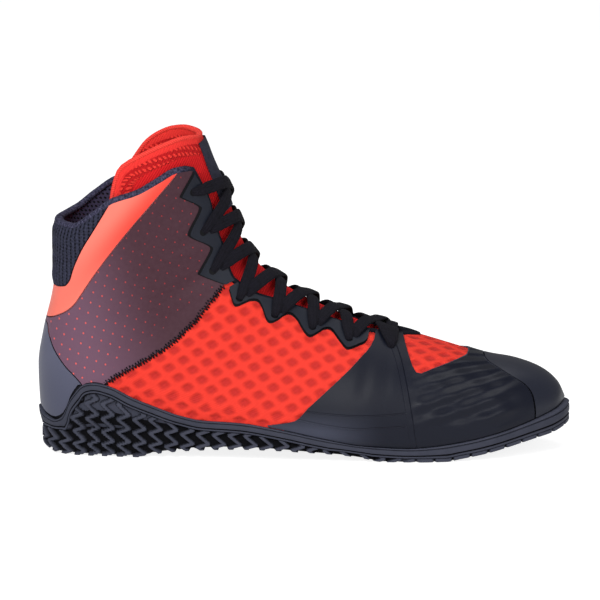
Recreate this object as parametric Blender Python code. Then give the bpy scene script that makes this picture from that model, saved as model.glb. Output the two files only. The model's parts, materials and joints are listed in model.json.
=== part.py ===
"""A high wrestling shoe, right foot, standing empty on its sole.

Every form comes from one function, `surface`, that gives the upper's outer face.
A section is a slanted line in side view, from the outer line (under the foot,
round the heel and up the back) to the ridge line (over the toe and instep and
up the front of the ankle). The two sides bulge out from that line.
X runs to the toe, Z up and Y to the medial side. Units are metres.
"""
import bmesh
import bpy
from math import cos, hypot, pi, sin
from mathutils import Vector
from mathutils.bvhtree import BVHTree

# Driving sizes
LENGTH = 0.2855
BALL_WIDTH = 0.098
HEIGHT = 0.172
WALL = 0.0022
GAP = 0.0003
PANEL = 0.0008
EYESTAY = 0.0012
PAD = 0.0025
RIM_OVERHANG = 0.0024
TOE_BUMPER = 0.0016
RIM_BAND = 0.0034
RIB_DEPTH = 0.0013
RIB_PITCH = 0.0094
LUG_DEPTH = 0.0014
LACE_WIDTH = 0.0062
LACE_THICKNESS = 0.0015
INSOLE = 0.003
TONGUE_WALL = 0.0024

# Sections from the toe tip to the collar. X is a percentage of the length from
# the heel, Z of the height, and mid, lateral and medial of the ball width.
# Widest says where on the line the section is widest, and low and high say how
# square the lower and upper halves are.
SECTIONS = (
    # low_x, low_z, high_x, high_z, mid, lateral, medial, widest, low, high, throat
    (98.3, 10.2, 98.9, 15.7, 6.1, 0.0, 0.0, 0.40, 3.0, 2.2, 1.000),
    (97.3, 9.3, 97.7, 19.8, 6.1, 14.3, 13.8, 0.38, 3.2, 2.2, 1.000),
    (94.5, 8.0, 94.3, 24.4, 5.6, 24.0, 22.9, 0.36, 3.4, 2.1, 1.000),
    (90.6, 6.6, 89.6, 27.2, 5.1, 33.2, 30.6, 0.33, 3.8, 2.1, 1.000),
    (85.0, 4.7, 84.7, 28.8, 4.1, 41.3, 37.7, 0.30, 4.2, 2.0, 1.000),
    (78.0, 3.0, 78.0, 32.3, 3.1, 46.0, 42.3, 0.26, 4.4, 2.0, 1.000),
    (71.0, 2.4, 71.7, 35.6, 2.0, 48.4, 44.9, 0.23, 4.4, 1.95, 1.000),
    (62.3, 3.5, 66.1, 38.3, 1.0, 48.4, 42.4, 0.21, 4.4, 1.9, 0.970),
    (51.8, 5.2, 59.8, 41.9, 0.0, 44.4, 35.7, 0.20, 4.2, 1.85, 0.937),
    (40.2, 6.4, 53.2, 46.6, 0.0, 39.3, 30.1, 0.21, 4.0, 1.85, 0.925),
    (29.7, 6.1, 47.5, 51.7, 0.0, 35.2, 29.1, 0.25, 3.8, 1.9, 0.905),
    (20.2, 4.9, 43.3, 57.0, 0.0, 33.2, 29.6, 0.30, 3.4, 2.0, 0.876),
    (12.2, 4.1, 40.5, 61.9, 0.0, 32.1, 30.1, 0.33, 3.0, 2.1, 0.875),
    (5.9, 3.8, 39.1, 66.3, 0.0, 31.1, 29.6, 0.36, 2.6, 2.1, 0.893),
    (1.9, 7.6, 38.3, 70.1, 0.0, 30.6, 29.6, 0.38, 2.3, 2.1, 0.906),
    (0.8, 16.9, 37.5, 74.1, 0.0, 30.6, 29.6, 0.42, 2.1, 2.1, 0.903),
    (0.6, 26.7, 36.7, 78.5, 0.0, 30.6, 30.1, 0.45, 2.0, 2.1, 0.901),
    (1.6, 37.8, 35.6, 83.1, 0.0, 31.1, 30.6, 0.50, 2.0, 2.1, 0.904),
    (3.2, 48.8, 34.6, 87.2, 0.0, 31.6, 31.6, 0.50, 2.1, 2.1, 0.896),
    (4.0, 58.1, 33.5, 91.3, 0.0, 32.7, 32.7, 0.50, 2.3, 2.3, 0.890),
    (4.0, 66.9, 32.5, 95.6, 0.0, 33.7, 33.7, 0.50, 2.5, 2.6, 0.885),
    (3.8, 76.7, 31.4, 100.0, 0.0, 34.2, 34.2, 0.50, 2.5, 2.9, 0.885),
    (3.4, 86.0, 30.9, 103.5, 0.0, 34.2, 34.2, 0.50, 2.5, 2.9, 0.885),
)
THROAT_SECTION = 6
HEEL_OPEN_SECTION = 12
HEEL_SHUT_SECTION = 14
SHAFT_SECTION = 17
LAST_SECTION = 22

# Side view lines, X as a percentage of the length and Z of the height
COLLAR_LINE = ((3.0, 72.3), (3.9, 72.1), (6.9, 71.8), (10.8, 75.6), (14.6, 80.2), (19.2, 82.8),
               (23.0, 86.3), (26.7, 89.5), (29.0, 89.8), (30.4, 87.5), (31.4, 82.5))
MEDIAL_COLLAR_LINE = ((3.0, 72.3), (3.9, 72.1), (6.9, 73.6), (10.8, 78.0), (14.6, 82.0),
                      (19.2, 84.0), (23.0, 86.8), (26.7, 89.5), (29.0, 89.8), (30.4, 87.5), (31.4, 82.5))
RIM_LINE = ((0.0, 14.6), (0.6, 14.3), (2.0, 11.9), (3.8, 10.8), (5.0, 11.6), (5.9, 13.3),
            (7.3, 19.1), (9.4, 23.0), (11.1, 23.5), (13.9, 22.5), (18.3, 19.0), (22.0, 16.6),
            (26.9, 13.7), (31.3, 12.2), (38.2, 11.7), (45.9, 9.8), (53.5, 7.3), (60.9, 5.2),
            (69.6, 4.4), (74.4, 4.9), (80.8, 6.3), (87.3, 8.6), (93.8, 11.6), (97.1, 13.4),
            (99.4, 15.2), (100.5, 15.4))
BOTTOM_LINE = ((0.0, 2.2), (1.6, 1.4), (3.4, 0.3), (6.0, 0.0), (19.0, 0.0), (23.7, 1.5),
               (30.4, 2.6), (39.8, 3.3), (55.3, 2.4), (61.2, 1.1), (65.0, 0.0), (76.6, 0.0),
               (79.1, 0.7), (83.6, 1.9), (88.2, 3.6), (92.7, 5.3), (95.5, 6.3), (98.7, 8.2),
               (100.5, 8.6))
TONGUE_RIM = ((14.6, 86.5), (16.2, 90.7), (19.2, 93.6), (23.9, 97.1), (28.6, 99.4),
              (30.2, 99.6), (31.6, 99.2), (33.0, 98.5))
MEDIAL_TONGUE_RIM = ((16.4, 84.0), (17.4, 87.5), (18.8, 90.4), (20.6, 94.2), (23.1, 97.0),
                     (26.1, 98.9), (29.4, 99.7), (30.6, 99.6), (31.6, 99.2), (33.0, 98.5))


def along_length(share):
    """X of a percentage of the length, with the heel at the negative end."""
    return (share / 100 - 0.5) * LENGTH


def up_height(share):
    """Z of a percentage of the height."""
    return share / 100 * HEIGHT


def across_ball(share):
    """Y of a percentage of the ball width."""
    return share / 100 * BALL_WIDTH


def smooth_curve(knots, values):
    """A function through the values that never overshoots them."""
    rises = [(v - u) / (b - a) for a, b, u, v in zip(knots, knots[1:], values, values[1:])]
    slopes = [rises[0]]
    for before, after in zip(rises, rises[1:]):
        slopes.append(2 * before * after / (before + after) if before * after > 0 else 0.0)
    slopes.append(rises[-1])

    def at(x):
        x = min(max(x, knots[0]), knots[-1])
        i = 0
        while i < len(knots) - 2 and x > knots[i + 1]:
            i += 1
        span = knots[i + 1] - knots[i]
        k = (x - knots[i]) / span
        return ((1 + 2 * k) * (1 - k) ** 2 * values[i] + k * (1 - k) ** 2 * span * slopes[i]
                + k * k * (3 - 2 * k) * values[i + 1] - k * k * (1 - k) * span * slopes[i + 1])

    return at


def side_line(points):
    """Z as a function of X for a line of the side view."""
    return smooth_curve([along_length(x) for x, z in points], [up_height(z) for x, z in points])


collar_height = {-1: side_line(COLLAR_LINE), 1: side_line(MEDIAL_COLLAR_LINE)}
tongue_height = {-1: side_line(TONGUE_RIM), 1: side_line(MEDIAL_TONGUE_RIM)}
rim_height = side_line(RIM_LINE)
bottom_height = side_line(BOTTOM_LINE)


def section_curves():
    """The station of each section, and a curve for each column of the table."""
    stations = [0.0]
    for before, after in zip(SECTIONS, SECTIONS[1:]):
        low = hypot(LENGTH * (after[0] - before[0]) / 100, up_height(after[1] - before[1]))
        high = hypot(LENGTH * (after[2] - before[2]) / 100, up_height(after[3] - before[3]))
        stations.append(stations[-1] + (low + high) / 2)
    columns = []
    for number, column in enumerate(zip(*SECTIONS)):
        if number in (0, 2):
            column = [along_length(share) for share in column]
        elif number in (1, 3):
            column = [up_height(share) for share in column]
        elif number == 4:
            column = [across_ball(share) for share in column]
        elif number in (5, 6):
            column = [across_ball(share) ** 2 for share in column]
        columns.append(smooth_curve(stations, list(column)))
    return stations, columns


STATIONS, COLUMNS = section_curves()


def surface(s, t, side):
    """A point of the upper's outer face: t is 0 at the outer line and 1 at the ridge."""
    low_x, low_z, high_x, high_z, mid, lateral, medial, widest, low, high, _ = [c(s) for c in COLUMNS]
    reach = max(medial if side > 0 else lateral, 0.0) ** 0.5
    if t < 0.5:
        along = widest * (1 - max(cos(t * pi), 0.0) ** (2 / low))
        wide = sin(t * pi) ** (2 / low)
    else:
        along = widest + (1 - widest) * sin((t - 0.5) * pi) ** (2 / high)
        wide = max(cos((t - 0.5) * pi), 0.0) ** (2 / high)
    return Vector((low_x + (high_x - low_x) * along, mid + side * reach * wide,
                   low_z + (high_z - low_z) * along))


def outward(s, t, side):
    """The outward direction of the face at a point."""
    step_s = 0.0008
    step_t = 0.004
    ahead = surface(min(s + step_s, STATIONS[-1]), t, side) - surface(max(s - step_s, 0.0), t, side)
    if t < step_t or t > 1 - step_t:
        edge = min(max(t, 0.0), 1.0)
        inner = edge + step_t if edge < 0.5 else edge - step_t
        rise = surface(s, inner, side) - surface(s, inner, -side)
        rise = rise if edge < 0.5 else -rise
    else:
        rise = surface(s, t + step_t, side) - surface(s, t - step_t, side)
    normal = ahead.cross(rise) * side
    if normal.length < 1e-12:
        normal = Vector((1.0, 0.0, 0.0))
    return normal.normalized()


def throat_share(s):
    """The t at which the upper stops beside the throat, or 1 where the vamp is shut."""
    if s <= STATIONS[THROAT_SECTION]:
        return 1.0
    widest = COLUMNS[7](s)
    high = COLUMNS[9](s)
    sine = ((COLUMNS[10](s) - widest) / (1 - widest)) ** (high / 2)
    low_t = 0.5
    high_t = 1.0
    for _ in range(40):
        middle = (low_t + high_t) / 2
        if sin((middle - 0.5) * pi) < sine:
            low_t = middle
        else:
            high_t = middle
    return low_t


FEATHER_T = 0.28
FEATHER_BACK = 0.55
FEATHER_POWER = 2.2


def feather_share(s):
    """The t of the lower edge: under the foot in front, and none where the back is shut."""
    front = STATIONS[HEEL_OPEN_SECTION]
    back = (STATIONS[HEEL_SHUT_SECTION] * FEATHER_BACK
            + STATIONS[HEEL_SHUT_SECTION - 1] * (1 - FEATHER_BACK))
    if s <= front:
        return FEATHER_T
    if s >= back:
        return 0.0
    k = (s - front) / (back - front)
    return FEATHER_T * (1 - k ** FEATHER_POWER) ** 0.5


def top_station(share, height, first):
    """The station at which a row of the grid reaches a side view line."""
    low = STATIONS[first]
    high = STATIONS[LAST_SECTION]
    for _ in range(40):
        middle = (low + high) / 2
        point = surface(middle, share * throat_share(middle), 1)
        if point.z < height(point.x):
            low = middle
        else:
            high = middle
    return low


# The grid of the upper: stations per stretch of sections, and rows up the side
GRID_STRETCHES = ((0, 1, 2), (1, 4, 4), (4, 6, 2), (6, 8, 4), (8, 12, 6), (12, 14, 4), (14, 17, 3))
SHAFT_COLUMNS = 5
ROWS = 8


def grid_stations():
    """Stations of the columns, crowded at the toe tip and where the heel shuts."""
    stations = [0.0]
    for first, last, count in GRID_STRETCHES:
        start = STATIONS[first]
        end = STATIONS[last]
        for i in range(1, count + 1):
            k = i / count
            stations.append(start + (end - start) * (k * k if first == 0 else k))
    return stations


def upper_grid(side):
    """Columns of (s, t) for one side, each from low to high."""
    grid = []
    for s in grid_stations():
        low = feather_share(s)
        high = throat_share(s)
        grid.append([(s, low + (high - low) * j / ROWS) for j in range(ROWS + 1)])
    start = STATIONS[SHAFT_SECTION]
    tops = [top_station(j / ROWS, collar_height[side if j else -1], SHAFT_SECTION)
            for j in range(ROWS + 1)]
    for i in range(1, SHAFT_COLUMNS + 1):
        column = []
        for j in range(ROWS + 1):
            s = start + (tops[j] - start) * i / SHAFT_COLUMNS
            column.append((s, throat_share(s) * j / ROWS))
        grid.append(column)
    return grid


def place(s, t, side, depth):
    """A point at a distance outside the upper's outer face."""
    point = surface(s, t, side) + outward(s, t, side) * depth
    if t <= 0.0 or t >= 1.0 or s <= 0.0:
        point.y = COLUMNS[4](s)
    return point


def skin(grids, depth):
    """Points and triangles of the grid of each side at one depth, joined where they meet."""
    points = []
    faces = []
    index = {}
    shared = set()

    def vertex(s, t, side):
        middle = t <= 1e-9 or t >= 1 - 1e-9 or s <= 0.0
        key = (round(s, 9), round(t, 9), 0 if middle else side)
        if key not in index:
            index[key] = len(points)
            points.append(place(s, t, side, depth(s, t)))
            if middle:
                shared.add(index[key])
        return index[key]

    for side, grid in grids.items():
        for left, right in zip(grid, grid[1:]):
            for j in range(len(left) - 1):
                corners = [vertex(*left[j], side), vertex(*right[j], side),
                           vertex(*right[j + 1], side), vertex(*left[j + 1], side)]
                for face in (corners[:3], [corners[0]] + corners[2:]):
                    if len(set(face)) == 3 and not shared.issuperset(face):
                        faces.append(face if side > 0 else face[::-1])
    return points, faces


def shell(grids, near, far):
    """A closed solid between two depths of the grids of both sides."""
    near_points, near_faces = skin(grids, near)
    far_points, far_faces = skin(grids, far)
    count = len(near_points)
    faces = [face[::-1] for face in near_faces] + [[i + count for i in face] for face in far_faces]
    edges = {}
    for face in near_faces:
        for a, b in zip(face, face[1:] + face[:1]):
            edges[(a, b)] = edges.get((a, b), 0) + 1
    for a, b in list(edges):
        if (b, a) not in edges:
            faces.append([a, b, b + count])
            faces.append([a, b + count, a + count])
    return near_points + far_points, faces


def make_object(name, points, faces, colour, roughness):
    """A closed mesh object with its own material, normals outward."""
    mesh = bpy.data.meshes.new(name)
    mesh.from_pydata([tuple(p) for p in points], [], faces)
    mesh.update()
    work = bmesh.new()
    work.from_mesh(mesh)
    bmesh.ops.remove_doubles(work, verts=work.verts, dist=1e-6)
    loose = [vertex for vertex in work.verts if not vertex.link_faces]
    bmesh.ops.delete(work, geom=loose, context="VERTS")
    bmesh.ops.recalc_face_normals(work, faces=work.faces)
    if work.calc_volume(signed=True) < 0:
        bmesh.ops.reverse_faces(work, faces=work.faces)
    work.to_mesh(mesh)
    work.free()
    material = bpy.data.materials.new(name)
    material.use_nodes = True
    principled = material.node_tree.nodes["Principled BSDF"]
    principled.inputs["Base Color"].default_value = (*colour, 1.0)
    principled.inputs["Roughness"].default_value = roughness
    mesh.materials.append(material)
    part = bpy.data.objects.new(name, mesh)
    bpy.context.scene.collection.objects.link(part)
    return part


def prism(outline, low_y, high_y):
    """Points and faces of a side view outline drawn out across the shoe."""
    count = len(outline)
    points = [(x, low_y, z) for x, z in outline] + [(x, high_y, z) for x, z in outline]
    faces = [list(range(count)), list(range(2 * count - 1, count - 1, -1))]
    for i in range(count):
        j = (i + 1) % count
        faces.append([i, i + count, j + count, j])
    return points, faces


def cut(part, points, faces, operation):
    """Cuts a part with a closed form and removes the cutter."""
    cutter = make_object("cutter", points, faces, (0.5, 0.5, 0.5), 0.5)
    modifier = part.modifiers.new("cut", "BOOLEAN")
    modifier.operation = operation
    modifier.solver = "EXACT"
    modifier.object = cutter
    graph = bpy.context.evaluated_depsgraph_get()
    result = bpy.data.meshes.new_from_object(part.evaluated_get(graph))
    part.modifiers.clear()
    old = part.data
    material = old.materials[0]
    part.data = result
    result.materials.clear()
    result.materials.append(material)
    bpy.data.meshes.remove(old)
    cutter_mesh = cutter.data
    bpy.data.objects.remove(cutter)
    bpy.data.materials.remove(cutter_mesh.materials[0])
    bpy.data.meshes.remove(cutter_mesh)
    work = bmesh.new()
    work.from_mesh(result)
    bmesh.ops.dissolve_degenerate(work, edges=work.edges, dist=2e-5)
    bmesh.ops.remove_doubles(work, verts=work.verts, dist=2e-5)
    work.to_mesh(result)
    work.free()
    result.name = part.name


def percent_line(points):
    """Side view points in metres from percentages of length and height."""
    return [(along_length(x), up_height(z)) for x, z in points]


def rounded(points, steps=3):
    """A smoother line through the same points."""
    line = []
    for i in range(len(points) - 1):
        before = Vector(points[max(i - 1, 0)])
        start = Vector(points[i])
        end = Vector(points[i + 1])
        after = Vector(points[min(i + 2, len(points) - 1)])
        for k in range(steps):
            u = k / steps
            place_at = 0.5 * (2 * start + (end - before) * u
                              + (2 * before - 5 * start + 4 * end - after) * u * u
                              + (3 * start - before - 3 * end + after) * u ** 3)
            line.append(tuple(place_at))
    line.append(tuple(points[-1]))
    return line


def moved(line, x, z):
    """A side view line shifted as a whole."""
    return [(px + x, pz + z) for px, pz in line]


def rim_edge(first, last, count):
    """The line just above the outsole's rim, between two percentages of the length."""
    edge = []
    for i in range(count + 1):
        x = along_length(first + (last - first) * i / count)
        edge.append((x, rim_height(x) + 1.5 * GAP))
    return edge


def clear_scene():
    """Removes whatever the file started with."""
    for thing in list(bpy.data.objects):
        bpy.data.objects.remove(thing)


# Sole, drawn round the upper's outer face
FLOOR_LIFT = 0.0002
RIM_CLEAR = 0.0007
HUG_HEIGHT = 0.008
FLOOR_CORNER = 0.0012
INNER_STEPS = (0.0, 0.28, 0.62, 1.0)
CHORD_SHARES = (0.3, 0.5, 0.7)
RIB_SWING = 0.8
SPINE = (13.0, 84.0)
SPINE_TOE_Y = 6.0
HEEL_RAYS = 40
SIDE_RAYS = 160
TOE_RAYS = 60
HALF_WIDTH = 0.035
FOOT_CLEAR = 0.0006
BUMPER_START = 0.40
BUMPER_RUN = 0.08
BAND_SHARE = 0.42
BAND_STEP = 0.0008
RIB_TOP_SINK = 0.0003
RIB_MIDDLE_SINK = 0.0001
RIB_MIDDLE_LIFT = 0.003
RIM_ROUND = 0.0002
FOOT_HEIGHT = 0.0012
FOOT_TUCK = 0.0016
BOTTOM_TUCK = 0.0045


def last_surface(grids):
    """The upper's outer face closed underneath and at the throat, for measuring."""
    points = []
    faces = []
    for side, grid in grids.items():
        closed = []
        for column in grid:
            low_s, low_t = column[0]
            high_s, high_t = column[-1]
            closed.append([(low_s, 0.0), (low_s, low_t / 2)] + column
                          + [(high_s, (high_t + 1) / 2), (high_s, 1.0)])
        for left, right in zip(closed, closed[1:]):
            for j in range(len(left) - 1):
                start = len(points)
                spots = (left[j], right[j], right[j + 1], left[j + 1])
                points += [surface(*spot, side) for spot in spots]
                faces += [(start, start + 1, start + 2), (start, start + 2, start + 3)]
    return BVHTree.FromPolygons(points, faces)


def sole_rays():
    """Starting points and directions round the shoe, as two halves from heel to toe."""
    heel_x, toe_x = (along_length(share) for share in SPINE)
    toe_y = across_ball(SPINE_TOE_Y)
    halves = []
    for side in (-1, 1):
        rays = []
        for i in range(HEEL_RAYS):
            angle = pi - i / HEEL_RAYS * pi / 2
            rays.append((Vector((heel_x, 0, 0)), Vector((cos(angle), side * sin(angle), 0))))
        for i in range(SIDE_RAYS):
            k = i / SIDE_RAYS
            start = Vector((heel_x + (toe_x - heel_x) * k, toe_y * k, 0))
            rays.append((start, Vector((0, side, 0))))
        for i in range(TOE_RAYS + 1):
            angle = pi / 2 - i / TOE_RAYS * pi / 2
            rays.append((Vector((toe_x, toe_y, 0)), Vector((cos(angle), side * sin(angle), 0))))
        halves.append(rays)
    return halves


def hit_reach(tree, ray, z):
    """How far the upper's outer face is from the ray's start at one height."""
    start, direction = ray
    inside = max(z, COLUMNS[1](station_at(start.x)) + FOOT_CLEAR)
    origin = Vector((start.x, start.y, inside))
    return (tree.ray_cast(origin, direction)[0] - origin).length


def even_rays(tree, rays, count):
    """Rays picked so that they meet the rim at even distances."""
    hits = []
    for ray in rays:
        x = ray[0].x + ray[1].x * HALF_WIDTH
        reach = hit_reach(tree, ray, rim_height(x))
        hits.append(ray[0] + ray[1] * reach)
    lengths = [0.0]
    for a, b in zip(hits, hits[1:]):
        lengths.append(lengths[-1] + (Vector((a.x, a.y)) - Vector((b.x, b.y))).length)
    chosen = []
    j = 0
    for i in range(count + 1):
        target = lengths[-1] * i / count
        while j < len(lengths) - 2 and lengths[j + 1] < target:
            j += 1
        k = (target - lengths[j]) / (lengths[j + 1] - lengths[j])
        start = rays[j][0].lerp(rays[j + 1][0], k)
        direction = rays[j][1].lerp(rays[j + 1][1], k).normalized()
        chosen.append((start, direction))
    return chosen, lengths[-1]


def outsole_rings(tree):
    """Closed rings of the outsole from the inside floor, over the rim, to the bottom."""
    halves = sole_rays()
    _, around = even_rays(tree, halves[0], 10)
    ribs = round(around / RIB_PITCH)
    lateral, _ = even_rays(tree, halves[0], 2 * ribs)
    medial, _ = even_rays(tree, halves[1], 2 * ribs)
    rays = lateral + medial[-2:0:-1]
    count = len(rays)
    columns = []
    for number, ray in enumerate(rays):
        x_guess = ray[0].x + ray[1].x * HALF_WIDTH
        reach = hit_reach(tree, ray, rim_height(x_guess))
        x = ray[0].x + ray[1].x * reach
        columns.append((ray, x, number % 2))
    inside = [[] for _ in INNER_STEPS]
    outside = [[] for _ in range(6)]
    for number, (ray, x, valley) in enumerate(columns):
        after = columns[(number + 1) % count][0]
        rim = rim_height(x)
        floor = COLUMNS[1](station_at(x)) + FLOOR_LIFT
        ground = bottom_height(x)
        hug = min(rim, floor + HUG_HEIGHT)
        bumper = min(max((x / LENGTH - BUMPER_START) / BUMPER_RUN, 0.0), 1.0)
        overhang = RIM_OVERHANG + TOE_BUMPER * bumper * bumper * (3 - 2 * bumper)
        depth = RIB_DEPTH * valley
        band = min(RIM_BAND, (rim - ground) * BAND_SHARE)
        high = rim - band - BAND_STEP
        middle = min((high + ground + RIB_MIDDLE_LIFT) / 2, high - BAND_STEP / 2)
        heights = [floor + (rim - floor) * step for step in INNER_STEPS]
        for ring, z, reach in zip(inside, heights, clear_wall(tree, ray, heights)):
            ring.append(point_on(ray, z, reach))
        lip = hit_reach(tree, ray, rim) + overhang - BAND_STEP
        outside[0].append(point_on(ray, rim - RIM_ROUND, lip))
        outside[1].append(outer_point(tree, ray, rim - band, hug, overhang))
        outside[2].append(outer_point(tree, ray, high, hug, overhang - RIB_TOP_SINK - depth))
        swung = (ray[0].lerp(after[0], RIB_SWING), ray[1].lerp(after[1], RIB_SWING).normalized())
        outside[3].append(outer_point(tree, swung, middle, hug, overhang - RIB_MIDDLE_SINK - depth))
        foot = ground + FOOT_HEIGHT + valley * LUG_DEPTH
        outside[4].append(outer_point(tree, ray, foot, hug, overhang - FOOT_TUCK - depth))
        outside[5].append(point_on(ray, ground, hit_reach(tree, ray, hug) - BOTTOM_TUCK))
    return inside + outside


def point_on(ray, z, reach):
    """The point of a ray at one height and reach."""
    point = ray[0] + ray[1] * reach
    return Vector((point.x, point.y, z))


def outer_point(tree, ray, z, hug, out):
    """A point outside the upper, which is upright below the height it hugs."""
    return point_on(ray, z, hit_reach(tree, ray, max(z, hug)) + out)


def clear_wall(tree, ray, heights):
    """Reaches of the inside wall at each height, eased so its chords stay clear."""
    reaches = [hit_reach(tree, ray, max(z, heights[0] + FLOOR_CORNER)) + RIM_CLEAR for z in heights]
    for _ in range(2):
        for i in range(len(heights) - 1):
            for k in CHORD_SHARES:
                z = heights[i] + (heights[i + 1] - heights[i]) * k
                wall = reaches[i] + (reaches[i + 1] - reaches[i]) * k
                short = hit_reach(tree, ray, max(z, heights[0] + FLOOR_CORNER)) + RIM_CLEAR - wall
                if short > 0:
                    reaches[i] += short
                    reaches[i + 1] += short
    return reaches


def ladder(ring, offset):
    """Faces across a closed ring, pairing each lateral point with its medial one."""
    count = len(ring)
    half = count // 2
    faces = [[offset, offset + 1, offset + count - 1]]
    for i in range(1, half - 1):
        a, b = offset + i, offset + i + 1
        c, d = offset + count - i - 1, offset + count - i
        faces += [[a, b, c], [a, c, d]]
    faces.append([offset + half - 1, offset + half, offset + half + 1])
    return faces


def build_outsole(grids):
    """One closed rubber piece: floor, wrapped rim, ribbed side and bottom."""
    rings = outsole_rings(last_surface(grids))
    count = len(rings[0])
    points = [point for ring in rings for point in ring]
    faces = ladder(rings[0], 0)
    for r in range(len(rings) - 1):
        for i in range(count):
            j = (i + 1) % count
            a, b = r * count + i, r * count + j
            c, d = a + count, b + count
            faces += [[a, b, d], [a, d, c]]
    last = (len(rings) - 1) * count
    faces += [face[::-1] for face in ladder(rings[-1], last)]
    return make_object("outsole", points, faces, (0.035, 0.038, 0.05), 0.7)


def station_at(x):
    """The station whose outer line is at a given X under the foot."""
    low = 0.0
    high = STATIONS[HEEL_SHUT_SECTION - 1]
    for _ in range(40):
        middle = (low + high) / 2
        if COLUMNS[0](middle) > x:
            low = middle
        else:
            high = middle
    return low


def spot_at(x, z):
    """The station and t at which the upper's outer face shows a point of the side view."""
    low_s = 0.0
    high_s = STATIONS[LAST_SECTION]
    for _ in range(40):
        s = (low_s + high_s) / 2
        low_x, low_z, high_x, high_z = [column(s) for column in COLUMNS[:4]]
        if (high_x - low_x) * (z - low_z) > (high_z - low_z) * (x - low_x):
            low_s = s
        else:
            high_s = s
    low = Vector((low_x, low_z))
    line = Vector((high_x, high_z)) - low
    along = (Vector((x, z)) - low).dot(line) / line.length_squared
    low_t = 0.0
    high_t = 1.0
    for _ in range(40):
        t = (low_t + high_t) / 2
        point = surface(s, t, 1)
        if (Vector((point.x, point.z)) - low).dot(line) / line.length_squared < along:
            low_t = t
        else:
            high_t = t
    return s, low_t


# Insole, on the feather edge inside the upper
INSOLE_SPAN = (7.0, 93.0)
INSOLE_COLUMNS = 22
INSOLE_LIFT = 0.0056
INSOLE_CLEAR = 0.0024


def build_insole():
    """A flat footbed that follows the floor inside the upper."""
    rows = ([], [])
    first, last = INSOLE_SPAN
    for i in range(INSOLE_COLUMNS + 1):
        k = 0.5 - 0.5 * cos(pi * i / INSOLE_COLUMNS)
        x = along_length(first + (last - first) * k)
        base = COLUMNS[1](station_at(x)) + INSOLE_LIFT
        for row, z in zip(rows, (base, base + INSOLE)):
            s, t = spot_at(x, z)
            for side in (-1, 1):
                y = surface(s, t, side).y - side * (WALL + INSOLE_CLEAR)
                row.append(Vector((x, y, z)))
    count = len(rows[0])
    faces = []
    for i in range(INSOLE_COLUMNS):
        a, b, c, d = 2 * i, 2 * i + 1, 2 * i + 3, 2 * i + 2
        faces += [[a, b, c], [a, c, d]]
        faces += [[a + count, c + count, b + count], [a + count, d + count, c + count]]
        faces += [[a, d, d + count], [a, d + count, a + count]]
        faces += [[b, c + count, c], [b, b + count, c + count]]
    end = count - 2
    faces += [[0, count, count + 1], [0, count + 1, 1]]
    faces += [[end, end + 1, end + count + 1], [end, end + count + 1, end + count]]
    return make_object("insole", rows[0] + rows[1], faces, (0.02, 0.022, 0.03), 0.9)


# Tongue, under the eyestays and rising above the collar
TONGUE_FIRST = 69.0
TONGUE_COLUMNS = 13
TONGUE_ROWS = 6
TONGUE_WINGS = ((0.0, 0.83), (0.35, 0.76), (0.6, 0.68), (0.8, 0.54), (0.9, 0.45), (1.0, 0.425))
TONGUE_SINK = 0.0018
TONGUE_EASE = 0.03


def ridge_station(share):
    """The station whose ridge is at a percentage of the length."""
    x = along_length(share)
    low = 0.0
    high = STATIONS[LAST_SECTION]
    for _ in range(40):
        middle = (low + high) / 2
        if COLUMNS[2](middle) > x:
            low = middle
        else:
            high = middle
    return low


def tongue_depth(s, t):
    """How deep the tongue's face lies: just in the throat, or under the upper's wall."""
    edge = throat_share(s)
    under = WALL + 4 * GAP
    if edge >= 1.0:
        return under
    k = min(max((t - edge - TONGUE_EASE) / max(1 - TONGUE_EASE - edge, TONGUE_EASE), 0.0), 1.0)
    return under + (TONGUE_SINK - under) * k * k * (3 - 2 * k)


def tongue_grid(side):
    """Columns of (s, t) of one side of the tongue, from its wing to the ridge."""
    start = ridge_station(TONGUE_FIRST)
    wing = smooth_curve([k for k, t in TONGUE_WINGS], [t for k, t in TONGUE_WINGS])
    tops = []
    for j in range(TONGUE_ROWS + 1):
        t = wing(1.0) + (1 - wing(1.0)) * j / TONGUE_ROWS
        low = STATIONS[SHAFT_SECTION]
        high = STATIONS[LAST_SECTION]
        for _ in range(40):
            middle = (low + high) / 2
            point = surface(middle, t, 1)
            if point.z < tongue_height[side if j < TONGUE_ROWS else -1](point.x):
                low = middle
            else:
                high = middle
        tops.append(low)
    grid = []
    for i in range(TONGUE_COLUMNS + 1):
        k = i / TONGUE_COLUMNS
        column = []
        for j in range(TONGUE_ROWS + 1):
            s = start + (tops[j] - start) * k
            column.append((s, wing(k) + (1 - wing(k)) * j / TONGUE_ROWS))
        grid.append(column)
    return grid


def build_tongue():
    """A padded knit tongue whose wings wrap back round the ankle."""
    grids = {side: tongue_grid(side) for side in (-1, 1)}
    points, faces = shell(grids, lambda s, t: -tongue_depth(s, t) - TONGUE_WALL,
                          lambda s, t: -tongue_depth(s, t))
    make_object("tongue", points, faces, (0.75, 0.03, 0.02), 0.9)


# Plain strip down the middle of the tongue, above the lacing
STRIP_STATIONS = (0.72, 0.985)
STRIP_T = 0.885
STRIP_LIFT = 0.0005
STRIP_THICKNESS = 0.0008
STRIP_COLUMNS = 6
STRIP_ROWS = 3


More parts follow.
